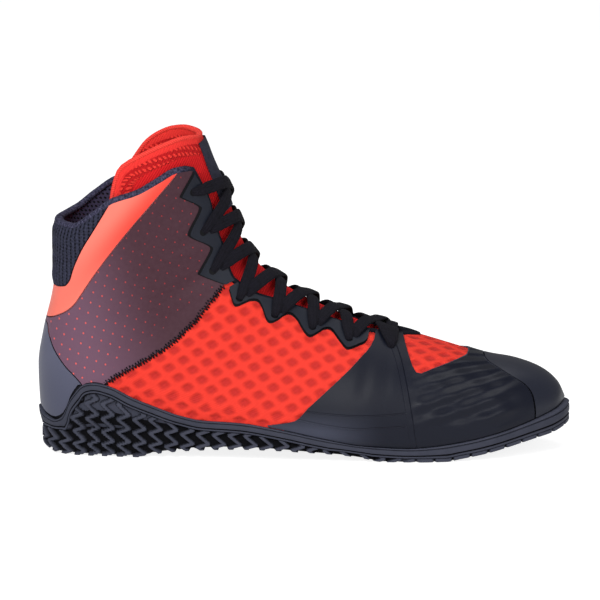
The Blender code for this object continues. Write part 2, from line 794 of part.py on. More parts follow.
def build_tongue_strip():
    """A woven strip sewn down the middle of the tongue's upper part."""
    columns = tongue_grid(-1)
    start = columns[0][-1][0]
    end = columns[-1][-1][0]
    first, last = STRIP_STATIONS
    grid = []
    for i in range(STRIP_COLUMNS + 1):
        s = start + (end - start) * (first + (last - first) * i / STRIP_COLUMNS)
        grid.append([(s, STRIP_T + (1 - STRIP_T) * j / STRIP_ROWS) for j in range(STRIP_ROWS + 1)])
    points, faces = shell({-1: grid, 1: grid}, lambda s, t: STRIP_LIFT - tongue_depth(s, t),
                          lambda s, t: STRIP_LIFT + STRIP_THICKNESS - tongue_depth(s, t))
    make_object("tongue_strip", points, faces, (0.02, 0.022, 0.035), 0.9)


# Edges of the overlays in side view, X as a percentage of the length and Z of the height
FOREFOOT_BACK = ((43.3, 11.2), (48.4, 12.8), (50.8, 16.7), (53.9, 21.4), (57.0, 26.0),
                 (60.1, 30.8), (63.2, 36.4), (63.6, 44.0))
VAMP_EDGE = ((68.2, 44.0), (68.6, 37.5), (69.2, 34.0), (71.0, 27.2), (74.2, 28.1), (77.8, 29.5),
             (80.6, 30.4), (81.6, 34.0))
TOE_SEAM = ((83.6, 34.0), (84.0, 29.3), (86.7, 26.6), (89.9, 23.6), (91.7, 21.5), (92.8, 18.7),
            (93.3, 14.6), (93.3, 11.9))
COUNTER_EDGE = ((-3.0, 41.0), (1.6, 40.8), (2.4, 37.2), (3.4, 33.0), (5.3, 28.5), (7.3, 25.3),
                (8.6, 23.0))
CORAL_EDGE = ((-3.0, 41.8), (1.6, 41.9), (4.7, 44.0), (6.4, 45.9), (7.8, 48.5), (10.8, 56.2),
              (14.2, 64.0), (18.0, 72.0), (22.2, 80.1), (27.0, 89.4), (28.2, 92.0))
PAD_EDGE = ((-3.0, 51.2), (4.2, 52.3), (6.2, 54.1), (7.3, 59.3), (8.9, 65.2), (10.9, 70.8),
            (14.1, 79.8), (15.0, 83.0))
STITCHED_EDGE = ((12.9, 23.0), (15.3, 25.8), (18.5, 28.7), (21.3, 31.5), (24.5, 34.7),
                 (27.3, 38.6), (29.8, 42.6), (32.1, 47.3), (34.4, 51.9), (35.1, 53.1))
UPPER_EYESTAY = ((35.6, 53.6), (31.3, 56.5), (31.1, 57.9), (33.1, 63.9), (32.6, 65.8),
                 (29.5, 68.5), (29.2, 70.5), (31.0, 76.5), (30.7, 78.4), (27.9, 81.0),
                 (27.8, 82.2), (29.9, 88.4), (30.3, 91.0))
LOWER_EYESTAY = ((36.2, 52.8), (37.0, 48.5), (37.7, 47.7), (39.0, 48.4), (40.2, 49.1),
                 (41.6, 48.8), (42.4, 46.8), (43.3, 43.1), (44.2, 42.5), (45.3, 43.2),
                 (46.7, 44.6), (47.8, 44.6), (49.0, 42.8), (50.2, 39.7), (51.2, 38.3),
                 (52.5, 39.0), (53.9, 40.2), (55.3, 39.9), (56.8, 37.0), (57.9, 35.0),
                 (58.5, 34.7), (60.2, 35.5), (62.0, 37.0), (62.6, 42.0))
SIDE = 0.08
SIDE_MIDDLE = 0.02
NUDGE = 0.00022


def overlay(name, grids, outline, sides, thickness, colour, roughness):
    """A panel cut from between two offsets of the upper by a side view outline."""
    points, faces = shell(grids, lambda s, t: GAP, lambda s, t: GAP + thickness)
    part = make_object(name, points, faces, colour, roughness)
    cut(part, *prism(outline, SIDE * min(sides), SIDE * max(sides)), "INTERSECT")
    return part


def columns_between(grids, first, last):
    """The columns of both sides between two sections."""
    low = STATIONS[first] - 1e-6
    high = STATIONS[last] + 1e-6
    return {side: [column for column in grid
                   if low <= column[-1][0] <= high or low <= column[0][0] <= high]
            for side, grid in grids.items()}


def build_overlays(grids):
    """The film, rubber and knit pieces over the upper, each clear of its neighbours."""
    navy = (0.012, 0.015, 0.028)
    front = columns_between(grids, 0, 10)
    back = columns_between(grids, 9, LAST_SECTION)
    middle = columns_between(grids, 5, LAST_SECTION)
    forefoot_back = percent_line(FOREFOOT_BACK)
    toe_seam = percent_line(TOE_SEAM)
    outline = (forefoot_back + rounded(percent_line(VAMP_EDGE[1:-1]), 2) + moved(toe_seam, -NUDGE, 0)
               + rim_edge(93.2, 43.4, 26))
    overlay("forefoot_overlay", front, outline, (-1, 1), PANEL, navy, 0.5)
    outline = moved(toe_seam, NUDGE, 0) + rim_edge(93.6, 100.4, 8) + [(along_length(104), up_height(34))]
    overlay("toe_cap", front, outline, (-1, 1), PANEL, navy, 0.45)
    counter = percent_line(COUNTER_EDGE)
    outline = moved(counter, -NUDGE, -NUDGE) + moved(rim_edge(8.4, -3.0, 12), -0.0013, 0.0012)
    overlay("heel_counter", back, outline, (-1, 1), PANEL, (0.07, 0.08, 0.11), 0.4)
    coral = rounded(percent_line(CORAL_EDGE), 2)
    pad = rounded(percent_line(PAD_EDGE), 2)
    outline = moved(coral, -NUDGE, NUDGE) + moved(pad, NUDGE, -NUDGE)[::-1]
    overlay("coral_band", back, outline, (-1, 1), PANEL, (0.95, 0.12, 0.06), 0.35)
    outline = moved(pad, -NUDGE, NUDGE) + [(along_length(-3), up_height(83))]
    overlay("heel_pad", back, outline, (-1, 1), PAD, (0.03, 0.032, 0.055), 0.95)
    stitched = percent_line(STITCHED_EDGE)
    upper_stay = percent_line(UPPER_EYESTAY)
    lower_stay = percent_line(LOWER_EYESTAY)
    for side, label in ((-1, "lateral"), (1, "medial")):
        outline = (moved(coral, NUDGE, -NUDGE) + moved(upper_stay, -NUDGE, 0)[::-1]
                   + moved(stitched, -NUDGE, NUDGE)[::-1] + rim_edge(12.7, 8.8, 4)
                   + moved(counter, NUDGE, NUDGE)[::-1])
        overlay("ankle_panel_" + label, back, outline, (SIDE_MIDDLE * side, side), PANEL,
                (0.08, 0.03, 0.05), 0.4)
        outline = moved(upper_stay, NUDGE, 0) + [(along_length(39), up_height(91)),
                                                  (along_length(39), up_height(56.2))]
        overlay("upper_eyestay_" + label, back, outline, (0, side), EYESTAY, (0.03, 0.035, 0.055), 0.5)
        outline = lower_stay + [(along_length(60), up_height(53)), (along_length(45), up_height(62)),
                                (along_length(40.0), up_height(60)), (along_length(39.3), up_height(55.6))]
        overlay("lower_eyestay_" + label, middle, outline, (0, side), EYESTAY, (0.03, 0.035, 0.055), 0.5)


# Lace crossings between the eyelets, from the top pair down
EYELETS = ((29.3, 82.7), (31.2, 70.0), (33.0, 57.7), (38.0, 49.2), (44.6, 43.7), (51.6, 39.9),
           (58.4, 36.4), (66.2, 34.0))
LACE_STEPS = 4
LACE_DIP = 0.0026
LACE_DIP_POWER = 8
LACE_BOW = 0.0012
LACE_OVERLAP = 0.55
LACE_CLEAR = 0.0014
TOE_LACE_CLEAR = 0.0006
LACE_APART = 0.0036


def strand(start, end, clear, bow, lift):
    """A flat strand between two spots of the two sides, bowed out or drawn in at its middle."""
    rings = []
    base = GAP + clear + LACE_THICKNESS / 2
    sharpness = 1 if bow > 0 else LACE_DIP_POWER
    centres = []
    for i in range(LACE_STEPS + 1):
        k = i / LACE_STEPS
        s = start[0] + (end[0] - start[0]) * k
        across = start[1] + (end[1] - start[1]) * k
        side = 1 if across > 0 else -1
        t = min(1 - abs(across), 1.0)
        normal = outward(s, t, side)
        away = base + (bow * sin(pi * k) ** sharpness) + lift * sin(pi * k)
        centres.append((surface(s, t, side) + normal * away, normal))
    for i, (centre, normal) in enumerate(centres):
        ahead = centres[min(i + 1, LACE_STEPS)][0] - centres[max(i - 1, 0)][0]
        across = normal.cross(ahead).normalized() * LACE_WIDTH / 2
        up = normal * LACE_THICKNESS / 2
        rings.append([centre - across - up, centre + across - up,
                      centre + across + up, centre - across + up])
    points = [point for ring in rings for point in ring]
    faces = [[0, 1, 2], [0, 2, 3]]
    for i in range(LACE_STEPS):
        for j in range(4):
            a, b = 4 * i + j, 4 * i + (j + 1) % 4
            faces += [[a, a + 4, b + 4], [a, b + 4, b]]
    end_ring = 4 * LACE_STEPS
    faces += [[end_ring, end_ring + 2, end_ring + 1], [end_ring, end_ring + 3, end_ring + 2]]
    return points, faces


def build_laces():
    """Each crossing is one solid, and a plain bar joins the lowest pair."""
    eyelets = [Vector(point) for point in percent_line(EYELETS)]
    black = (0.008, 0.009, 0.014)
    for number, (high, low) in enumerate(zip(eyelets, eyelets[1:]), 1):
        apart = (low - high).normalized() * LACE_APART
        spots = [spot_at(*(high + apart)), spot_at(*(low - apart))]
        (top_s, top_t), (foot_s, foot_t) = spots
        last_pair = number == len(eyelets) - 1
        clear = PANEL + TOE_LACE_CLEAR if last_pair else EYESTAY + LACE_CLEAR
        bow = LACE_BOW if last_pair else -LACE_DIP
        part = make_object("lace_crossing_%d" % number,
                           *strand((top_s, top_t - 1), (foot_s, 1 - foot_t), clear, bow, 0.0),
                           black, 0.9)
        over = strand((foot_s, foot_t - 1), (top_s, 1 - top_t), clear, bow,
                      LACE_THICKNESS * LACE_OVERLAP)
        cut(part, *over, "UNION")
    s, t = spot_at(*(eyelets[-1] + (eyelets[-1] - eyelets[-2]).normalized() * LACE_APART))
    bar = strand((s, t - 1), (s, 1 - t), PANEL + TOE_LACE_CLEAR, LACE_BOW, 0.0)
    make_object("lace_bar", *bar, black, 0.9)


def centre_on_floor():
    """Moves every part so that the whole stands on the floor, centred over the origin."""
    corners = [vertex.co for part in bpy.data.objects for vertex in part.data.vertices]
    shift = Vector((-(min(c.x for c in corners) + max(c.x for c in corners)) / 2,
                    -(min(c.y for c in corners) + max(c.y for c in corners)) / 2,
                    -min(c.z for c in corners)))
    for part in bpy.data.objects:
        for vertex in part.data.vertices:
            vertex.co += shift


def build_all():
    """Builds every piece in the order a maker puts them together."""
    clear_scene()
    grids = {side: upper_grid(side) for side in (-1, 1)}
    points, faces = shell(grids, lambda s, t: -WALL, lambda s, t: 0.0)
    make_object("upper", points, faces, (0.8, 0.05, 0.02), 0.85)
    build_outsole(grids)
    build_insole()
    build_tongue()
    build_tongue_strip()
    build_overlays(grids)
    build_laces()
    centre_on_floor()


build_all()
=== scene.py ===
import json
import random
from math import atan2, cos, hypot, pi, radians, sin

import bpy
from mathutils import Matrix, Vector
from mathutils.bvhtree import BVHTree

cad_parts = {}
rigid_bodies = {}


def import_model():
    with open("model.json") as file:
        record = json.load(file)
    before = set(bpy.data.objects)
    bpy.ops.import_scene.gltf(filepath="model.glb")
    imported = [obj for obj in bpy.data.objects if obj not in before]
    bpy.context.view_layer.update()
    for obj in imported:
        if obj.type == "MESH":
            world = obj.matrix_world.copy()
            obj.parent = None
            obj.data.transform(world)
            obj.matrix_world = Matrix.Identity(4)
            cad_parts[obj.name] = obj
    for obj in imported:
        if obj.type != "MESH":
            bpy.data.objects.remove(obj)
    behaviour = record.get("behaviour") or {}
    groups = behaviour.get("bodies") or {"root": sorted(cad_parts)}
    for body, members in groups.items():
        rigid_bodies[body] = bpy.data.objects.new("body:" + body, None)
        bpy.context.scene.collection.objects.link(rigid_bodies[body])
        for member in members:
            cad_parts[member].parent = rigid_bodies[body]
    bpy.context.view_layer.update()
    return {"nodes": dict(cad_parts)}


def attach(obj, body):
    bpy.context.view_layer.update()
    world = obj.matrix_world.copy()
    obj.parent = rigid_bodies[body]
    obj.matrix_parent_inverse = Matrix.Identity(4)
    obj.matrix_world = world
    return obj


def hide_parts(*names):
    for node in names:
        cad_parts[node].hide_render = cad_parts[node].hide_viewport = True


for thing in list(bpy.data.objects):
    bpy.data.objects.remove(thing)
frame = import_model()

# The upper is one knitted shell drawn over a last, open at the collar, along
# the throat and under the foot. Its outer face is an open diamond knit in red
# orange and its inner face a dark spacer lining.
LENGTH = 0.2855
BALL_WIDTH = 0.098
HEIGHT = 0.172
CENTRING = Vector((-0.00059, 0.00032, 0.0))
WALL = 0.0022
GAP = 0.0003
PANEL = 0.0008
SECTIONS = (
    # low_x, low_z, high_x, high_z, mid, lateral, medial, widest, low, high, throat
    (98.3, 10.2, 98.9, 15.7, 6.1, 0.0, 0.0, 0.40, 3.0, 2.2, 1.000),
    (97.3, 9.3, 97.7, 19.8, 6.1, 14.3, 13.8, 0.38, 3.2, 2.2, 1.000),
    (94.5, 8.0, 94.3, 24.4, 5.6, 24.0, 22.9, 0.36, 3.4, 2.1, 1.000),
    (90.6, 6.6, 89.6, 27.2, 5.1, 33.2, 30.6, 0.33, 3.8, 2.1, 1.000),
    (85.0, 4.7, 84.7, 28.8, 4.1, 41.3, 37.7, 0.30, 4.2, 2.0, 1.000),
    (78.0, 3.0, 78.0, 32.3, 3.1, 46.0, 42.3, 0.26, 4.4, 2.0, 1.000),
    (71.0, 2.4, 71.7, 35.6, 2.0, 48.4, 44.9, 0.23, 4.4, 1.95, 1.000),
    (62.3, 3.5, 66.1, 38.3, 1.0, 48.4, 42.4, 0.21, 4.4, 1.9, 0.970),
    (51.8, 5.2, 59.8, 41.9, 0.0, 44.4, 35.7, 0.20, 4.2, 1.85, 0.937),
    (40.2, 6.4, 53.2, 46.6, 0.0, 39.3, 30.1, 0.21, 4.0, 1.85, 0.925),
    (29.7, 6.1, 47.5, 51.7, 0.0, 35.2, 29.1, 0.25, 3.8, 1.9, 0.905),
    (20.2, 4.9, 43.3, 57.0, 0.0, 33.2, 29.6, 0.30, 3.4, 2.0, 0.876),
    (12.2, 4.1, 40.5, 61.9, 0.0, 32.1, 30.1, 0.33, 3.0, 2.1, 0.875),
    (5.9, 3.8, 39.1, 66.3, 0.0, 31.1, 29.6, 0.36, 2.6, 2.1, 0.893),
    (1.9, 7.6, 38.3, 70.1, 0.0, 30.6, 29.6, 0.38, 2.3, 2.1, 0.906),
    (0.8, 16.9, 37.5, 74.1, 0.0, 30.6, 29.6, 0.42, 2.1, 2.1, 0.903),
    (0.6, 26.7, 36.7, 78.5, 0.0, 30.6, 30.1, 0.45, 2.0, 2.1, 0.901),
    (1.6, 37.8, 35.6, 83.1, 0.0, 31.1, 30.6, 0.50, 2.0, 2.1, 0.904),
    (3.2, 48.8, 34.6, 87.2, 0.0, 31.6, 31.6, 0.50, 2.1, 2.1, 0.896),
    (4.0, 58.1, 33.5, 91.3, 0.0, 32.7, 32.7, 0.50, 2.3, 2.3, 0.890),
    (4.0, 66.9, 32.5, 95.6, 0.0, 33.7, 33.7, 0.50, 2.5, 2.6, 0.885),
    (3.8, 76.7, 31.4, 100.0, 0.0, 34.2, 34.2, 0.50, 2.5, 2.9, 0.885),
    (3.4, 86.0, 30.9, 103.5, 0.0, 34.2, 34.2, 0.50, 2.5, 2.9, 0.885),
)
THROAT_SECTION = 6
HEEL_OPEN_SECTION = 12
HEEL_SHUT_SECTION = 14
SHAFT_SECTION = 17
LAST_SECTION = 22
FEATHER_T = 0.28
FEATHER_CURVE = 2.2
HALVINGS = 34
COLLAR_LINE = ((3.0, 72.3), (3.9, 72.1), (6.9, 71.8), (10.8, 75.6), (14.6, 80.2), (19.2, 82.8),
               (23.0, 86.3), (26.7, 89.5), (29.0, 89.8), (30.4, 87.5), (31.4, 82.5))
MEDIAL_COLLAR_LINE = ((3.0, 72.3), (3.9, 72.1), (6.9, 73.6), (10.8, 78.0), (14.6, 82.0),
                      (19.2, 84.0), (23.0, 86.8), (26.7, 89.5), (29.0, 89.8), (30.4, 87.5),
                      (31.4, 82.5))
GRID_PITCH = 0.0015
ROWS = 40
SHAFT_COLUMNS = 34


def along_length(share):
    """X of a percentage of the length, with the heel at the negative end."""
    return (share / 100 - 0.5) * LENGTH


def up_height(share):
    """Z of a percentage of the height."""
    return share / 100 * HEIGHT


def across_ball(share):
    """Y of a percentage of the ball width."""
    return share / 100 * BALL_WIDTH


def smooth_curve(knots, values):
    """A function through the values that never overshoots them."""
    rises = [(v - u) / (b - a) for a, b, u, v in zip(knots, knots[1:], values, values[1:])]
    slopes = [rises[0]]
    for before, after in zip(rises, rises[1:]):
        slopes.append(2 * before * after / (before + after) if before * after > 0 else 0.0)
    slopes.append(rises[-1])

    def at(x):
        x = min(max(x, knots[0]), knots[-1])
        i = 0
        while i < len(knots) - 2 and x > knots[i + 1]:
            i += 1
        span = knots[i + 1] - knots[i]
        k = (x - knots[i]) / span
        return ((1 + 2 * k) * (1 - k) ** 2 * values[i] + k * (1 - k) ** 2 * span * slopes[i]
                + k * k * (3 - 2 * k) * values[i + 1] - k * k * (1 - k) * span * slopes[i + 1])

    return at


def side_line(points):
    """Z as a function of X for a line of the side view."""
    return smooth_curve([along_length(x) for x, z in points], [up_height(z) for x, z in points])


collar_height = {-1: side_line(COLLAR_LINE), 1: side_line(MEDIAL_COLLAR_LINE)}


def section_curves():
    """The station of each section, and a curve for each column of the table."""
    stations = [0.0]
    for before, after in zip(SECTIONS, SECTIONS[1:]):
        low = hypot(LENGTH * (after[0] - before[0]) / 100, up_height(after[1] - before[1]))
        high = hypot(LENGTH * (after[2] - before[2]) / 100, up_height(after[3] - before[3]))
        stations.append(stations[-1] + (low + high) / 2)
    measures = (along_length, up_height, along_length, up_height, across_ball,
                lambda share: across_ball(share) ** 2, lambda share: across_ball(share) ** 2)
    columns = []
    for number, column in enumerate(zip(*SECTIONS)):
        if number < len(measures):
            column = [measures[number](share) for share in column]
        columns.append(smooth_curve(stations, list(column)))
    return stations, columns


STATIONS, COLUMNS = section_curves()
KNOWN_SECTIONS = {}


def section(s):
    """The values of every column at one station."""
    key = round(s, 8)
    if key not in KNOWN_SECTIONS:
        KNOWN_SECTIONS[key] = [column(s) for column in COLUMNS]
    return KNOWN_SECTIONS[key]


def surface(s, t, side):
    """A point of the upper's outer face: t is 0 at the outer line and 1 at the ridge."""
    low_x, low_z, high_x, high_z, mid, lateral, medial, widest, low, high, _ = section(s)
    reach = max(medial if side > 0 else lateral, 0.0) ** 0.5
    if t < 0.5:
        along = widest * (1 - max(cos(t * pi), 0.0) ** (2 / low))
        wide = sin(max(t, 0.0) * pi) ** (2 / low)
    else:
        along = widest + (1 - widest) * sin((t - 0.5) * pi) ** (2 / high)
        wide = max(cos((t - 0.5) * pi), 0.0) ** (2 / high)
    return Vector((low_x + (high_x - low_x) * along, mid + side * reach * wide,
                   low_z + (high_z - low_z) * along))


def outward(s, t, side):
    """The outward direction of the face at a point."""
    step_s = 0.0008
    step_t = 0.004
    ahead = surface(min(s + step_s, STATIONS[-1]), t, side) - surface(max(s - step_s, 0.0), t, side)
    if t < step_t or t > 1 - step_t:
        edge = min(max(t, 0.0), 1.0)
        inner = edge + step_t if edge < 0.5 else edge - step_t
        rise = surface(s, inner, side) - surface(s, inner, -side)
        rise = rise if edge < 0.5 else -rise
    else:
        rise = surface(s, t + step_t, side) - surface(s, t - step_t, side)
    normal = ahead.cross(rise) * side
    if normal.length < 1e-12:
        normal = Vector((1.0, 0.0, 0.0))
    return normal.normalized()


def throat_share(s):
    """The t at which the upper stops beside the throat, or 1 where the vamp is shut."""
    if s <= STATIONS[THROAT_SECTION]:
        return 1.0
    widest, high, throat = section(s)[7], section(s)[9], section(s)[10]
    sine = ((throat - widest) / (1 - widest)) ** (high / 2)
    return 0.5 + atan2(sine, max(1 - sine * sine, 0.0) ** 0.5) / pi


def feather_share(s):
    """The t of the lower edge: under the foot in front, and none where the back is shut."""
    front = STATIONS[HEEL_OPEN_SECTION]
    # The opening shuts a little nearer to the second of these two sections
    back = STATIONS[HEEL_SHUT_SECTION] * 0.55 + STATIONS[HEEL_SHUT_SECTION - 1] * 0.45
    if s <= front:
        return FEATHER_T
    if s >= back:
        return 0.0
    k = (s - front) / (back - front)
    return FEATHER_T * (1 - k ** FEATHER_CURVE) ** 0.5


def between(value):
    """The value kept between 0 and 1."""
    return min(max(value, 0.0), 1.0)


def eased(value):
    """The value kept between 0 and 1, with a soft start and end."""
    k = between(value)
    return k * k * (3 - 2 * k)


def halfway(low, high, beyond):
    """The value between two others where a test first fails."""
    for _ in range(HALVINGS):
        middle = (low + high) / 2
        if beyond(middle):
            high = middle
        else:
            low = middle
    return low


def top_station(row_t, height):
    """The station at which a row of the grid, given as t at each station, reaches a side view line."""
    def above(s):
        point = surface(s, row_t(s), 1)
        return point.z > height(point.x)

    return halfway(STATIONS[SHAFT_SECTION], STATIONS[LAST_SECTION], above)


def collar_stations(side, rows):
    """The station at which each row of one side reaches the collar."""
    return [top_station(lambda s: j / rows * throat_share(s), collar_height[side if j else -1])
            for j in range(rows + 1)]


def upper_grid(side):
    """Columns of (s, t) of one side, from the toe tip to the collar, each from low to high."""
    grid = []
    count = round(STATIONS[SHAFT_SECTION] / GRID_PITCH)
    for i in range(count + 1):
        k = i / count
        # The columns stand closer in the first tenth, where the toe curves most
        s = STATIONS[SHAFT_SECTION] * (k if k > 0.1 else k * k * 5 + k * 0.5)
        low = feather_share(s)
        high = throat_share(s)
        grid.append([(s, low + (high - low) * j / ROWS) for j in range(ROWS + 1)])
    start = STATIONS[SHAFT_SECTION]
    tops = collar_stations(side, ROWS)
    for i in range(1, SHAFT_COLUMNS + 1):
        row = [start + (top - start) * i / SHAFT_COLUMNS for top in tops]
        grid.append([(s, throat_share(s) * j / ROWS) for j, s in enumerate(row)])
    return grid


# Arc lengths up each section, so that a knit or print isn't stretched over the top
ARC_STEPS = 40
ARC_STATIONS = 120
ARCS = []
for station_number in range(ARC_STATIONS + 1):
    arc_row = [0.0]
    for arc_step in range(ARC_STEPS):
        arc_start = surface(STATIONS[-1] * station_number / ARC_STATIONS, arc_step / ARC_STEPS, -1)
        arc_end = surface(STATIONS[-1] * station_number / ARC_STATIONS, (arc_step + 1) / ARC_STEPS, -1)
        arc_row.append(arc_row[-1] + (arc_end - arc_start).length)
    ARCS.append(arc_row)


def arc_at(s, t):
    """Arc length from the outer line to a point, along its section."""
    a = min(max(s / STATIONS[-1] * ARC_STATIONS, 0.0), ARC_STATIONS - 1e-6)
    b = min(max(t * ARC_STEPS, 0.0), ARC_STEPS - 1e-6)
    i, j = int(a), int(b)
    near = ARCS[i][j] + (ARCS[i][j + 1] - ARCS[i][j]) * (b - j)
    far = ARCS[i + 1][j] + (ARCS[i + 1][j + 1] - ARCS[i + 1][j]) * (b - j)
    return near + (far - near) * (a - i)


def flat_spot(s, t):
    """Where a point lies on the side view once the section is rolled out flat."""
    low_x, low_z, high_x, high_z = section(s)[:4]
    widest = section(s)[7]
    line = Vector((high_x - low_x, high_z - low_z))
    middle = Vector((low_x, low_z)) + line * widest
    away = arc_at(s, t) - arc_at(s, 0.5)
    return middle + line.normalized() * away


# Soft creases left by wear, as troughs and ridges over every layer. Both ends
# are percentages of the length and the height, width and depth in metres.
CREASES = (
    # start_x, start_z, end_x, end_z, width, depth
    (36.5, 50.0, 27.0, 37.0, 0.0050, -0.0009),
    (33.5, 57.5, 22.0, 49.0, 0.0055, -0.0008),
    (41.0, 45.0, 33.5, 33.0, 0.0050, 0.0006),
    (31.0, 64.5, 21.0, 60.5, 0.0055, 0.0006),
    (47.0, 40.0, 42.0, 28.0, 0.0055, -0.0007),
    (62.5, 33.0, 60.5, 19.0, 0.0050, -0.0006),
    (67.5, 32.5, 66.5, 18.0, 0.0050, 0.0005),
    (12.0, 45.0, 20.0, 41.0, 0.0060, -0.0007),
)


def share_along(spot, start, step):
    """How far along a step from a start a spot lies, as a share of the step."""
    return (spot - start).dot(step) / step.length_squared


def crease_depth(point):
    """How far the creases push a point of the side view in or out."""
    spot = Vector((point.x, point.z))
    depth = 0.0
    for start_x, start_z, end_x, end_z, width, height in CREASES:
        start = Vector((along_length(start_x), up_height(start_z)))
        step = Vector((along_length(end_x), up_height(end_z))) - start
        k = share_along(spot, start, step)
        off = (spot - start - step * k).length / width
        if 0.0 < k < 1.0 and off < 1.0:
            depth += height * (1 - off * off) ** 2 * sin(pi * k)
    return depth


def place(s, t, side, depth):
    """A point at a distance outside the upper's outer face, in the shared frame."""
    point = surface(s, t, side)
    point += outward(s, t, side) * (depth + crease_depth(point))
    if t <= 0.0 or t >= 1.0 or s <= 0.0:
        point.y = section(s)[4]
    return point + CENTRING


def skin(grids, depth):
    """Points, faces and flat spots of each side's grid at one depth, joined where they meet."""
    points, faces, spots = [], [], []
    index = {}
    shared = set()

    def vertex(s, t, side):
        middle = t <= 1e-9 or t >= 1 - 1e-9 or s <= 0.0
        key = (round(s, 9), round(t, 9), 0 if middle else side)
        if key not in index:
            index[key] = len(points)
            points.append(place(s, t, side, depth(s, t)))
            spots.append(flat_spot(s, t))
            if middle:
                shared.add(index[key])
        return index[key]

    for side, columns in grids.items():
        for left, right in zip(columns, columns[1:]):
            for j in range(len(left) - 1):
                face = [vertex(*left[j], side), vertex(*right[j], side),
                        vertex(*right[j + 1], side), vertex(*left[j + 1], side)]
                face = [v for k, v in enumerate(face) if v not in face[:k]]
                if len(face) > 2 and not shared.issuperset(face):
                    faces.append(face if side > 0 else face[::-1])
    return points, faces, spots


def shell(grids, near, far):
    """A closed solid between two depths of the sides' grids, with its flat spots."""
    near_points, near_faces, spots = skin(grids, near)
    far_points, far_faces, _ = skin(grids, far)
    count = len(near_points)
    faces = [face[::-1] for face in near_faces] + [[i + count for i in face] for face in far_faces]
    edges = set()
    for face in near_faces:
        edges.update(zip(face, face[1:] + face[:1]))
    for a, b in edges:
        if (b, a) not in edges:
            faces.append([a, b, b + count, a + count])
    return near_points + far_points, faces, spots + spots, len(near_faces)


def pick(pieces):
    """Selects these pieces alone, with the first one active."""
    bpy.ops.object.select_all(action="DESELECT")
    for piece in pieces:
        piece.select_set(True)
    bpy.context.view_layer.objects.active = pieces[0]


def joined(pieces):
    """One object made of several, with the mesh added to the first one's."""
    pick(pieces)
    bpy.ops.object.join()
    return bpy.context.object


def mesh_object(name, points, faces, maps, materials, smooth=40):
    """An object with named UV maps given per point, shaded smooth up to an angle."""
    mesh = bpy.data.meshes.new(name)
    mesh.from_pydata([tuple(point) for point in points], [], faces)
    for label, values in maps.items():
        layer = mesh.uv_layers.new(name=label)
        for loop in mesh.loops:
            layer.data[loop.index].uv = values[loop.vertex_index]
    for material in materials:
        mesh.materials.append(material)
    made = bpy.data.objects.new(name, mesh)
    bpy.context.scene.collection.objects.link(made)
    pick([made])
    bpy.ops.object.mode_set(mode="EDIT")
    bpy.ops.mesh.select_all(action="SELECT")
    bpy.ops.mesh.remove_doubles(threshold=1e-6)
    bpy.ops.mesh.normals_make_consistent(inside=False)
    bpy.ops.object.mode_set(mode="OBJECT")
    if smooth:
        bpy.ops.object.shade_smooth_by_angle(angle=radians(smooth))
    return made


def tint(red, green, blue):
    """A colour given in display steps of 0 to 255, made linear for a socket."""
    share = [value / 255 for value in (red, green, blue)]
    return tuple(((v + 0.055) / 1.055) ** 2.4 if v > 0.04 else v / 12.92 for v in share) + (1.0,)


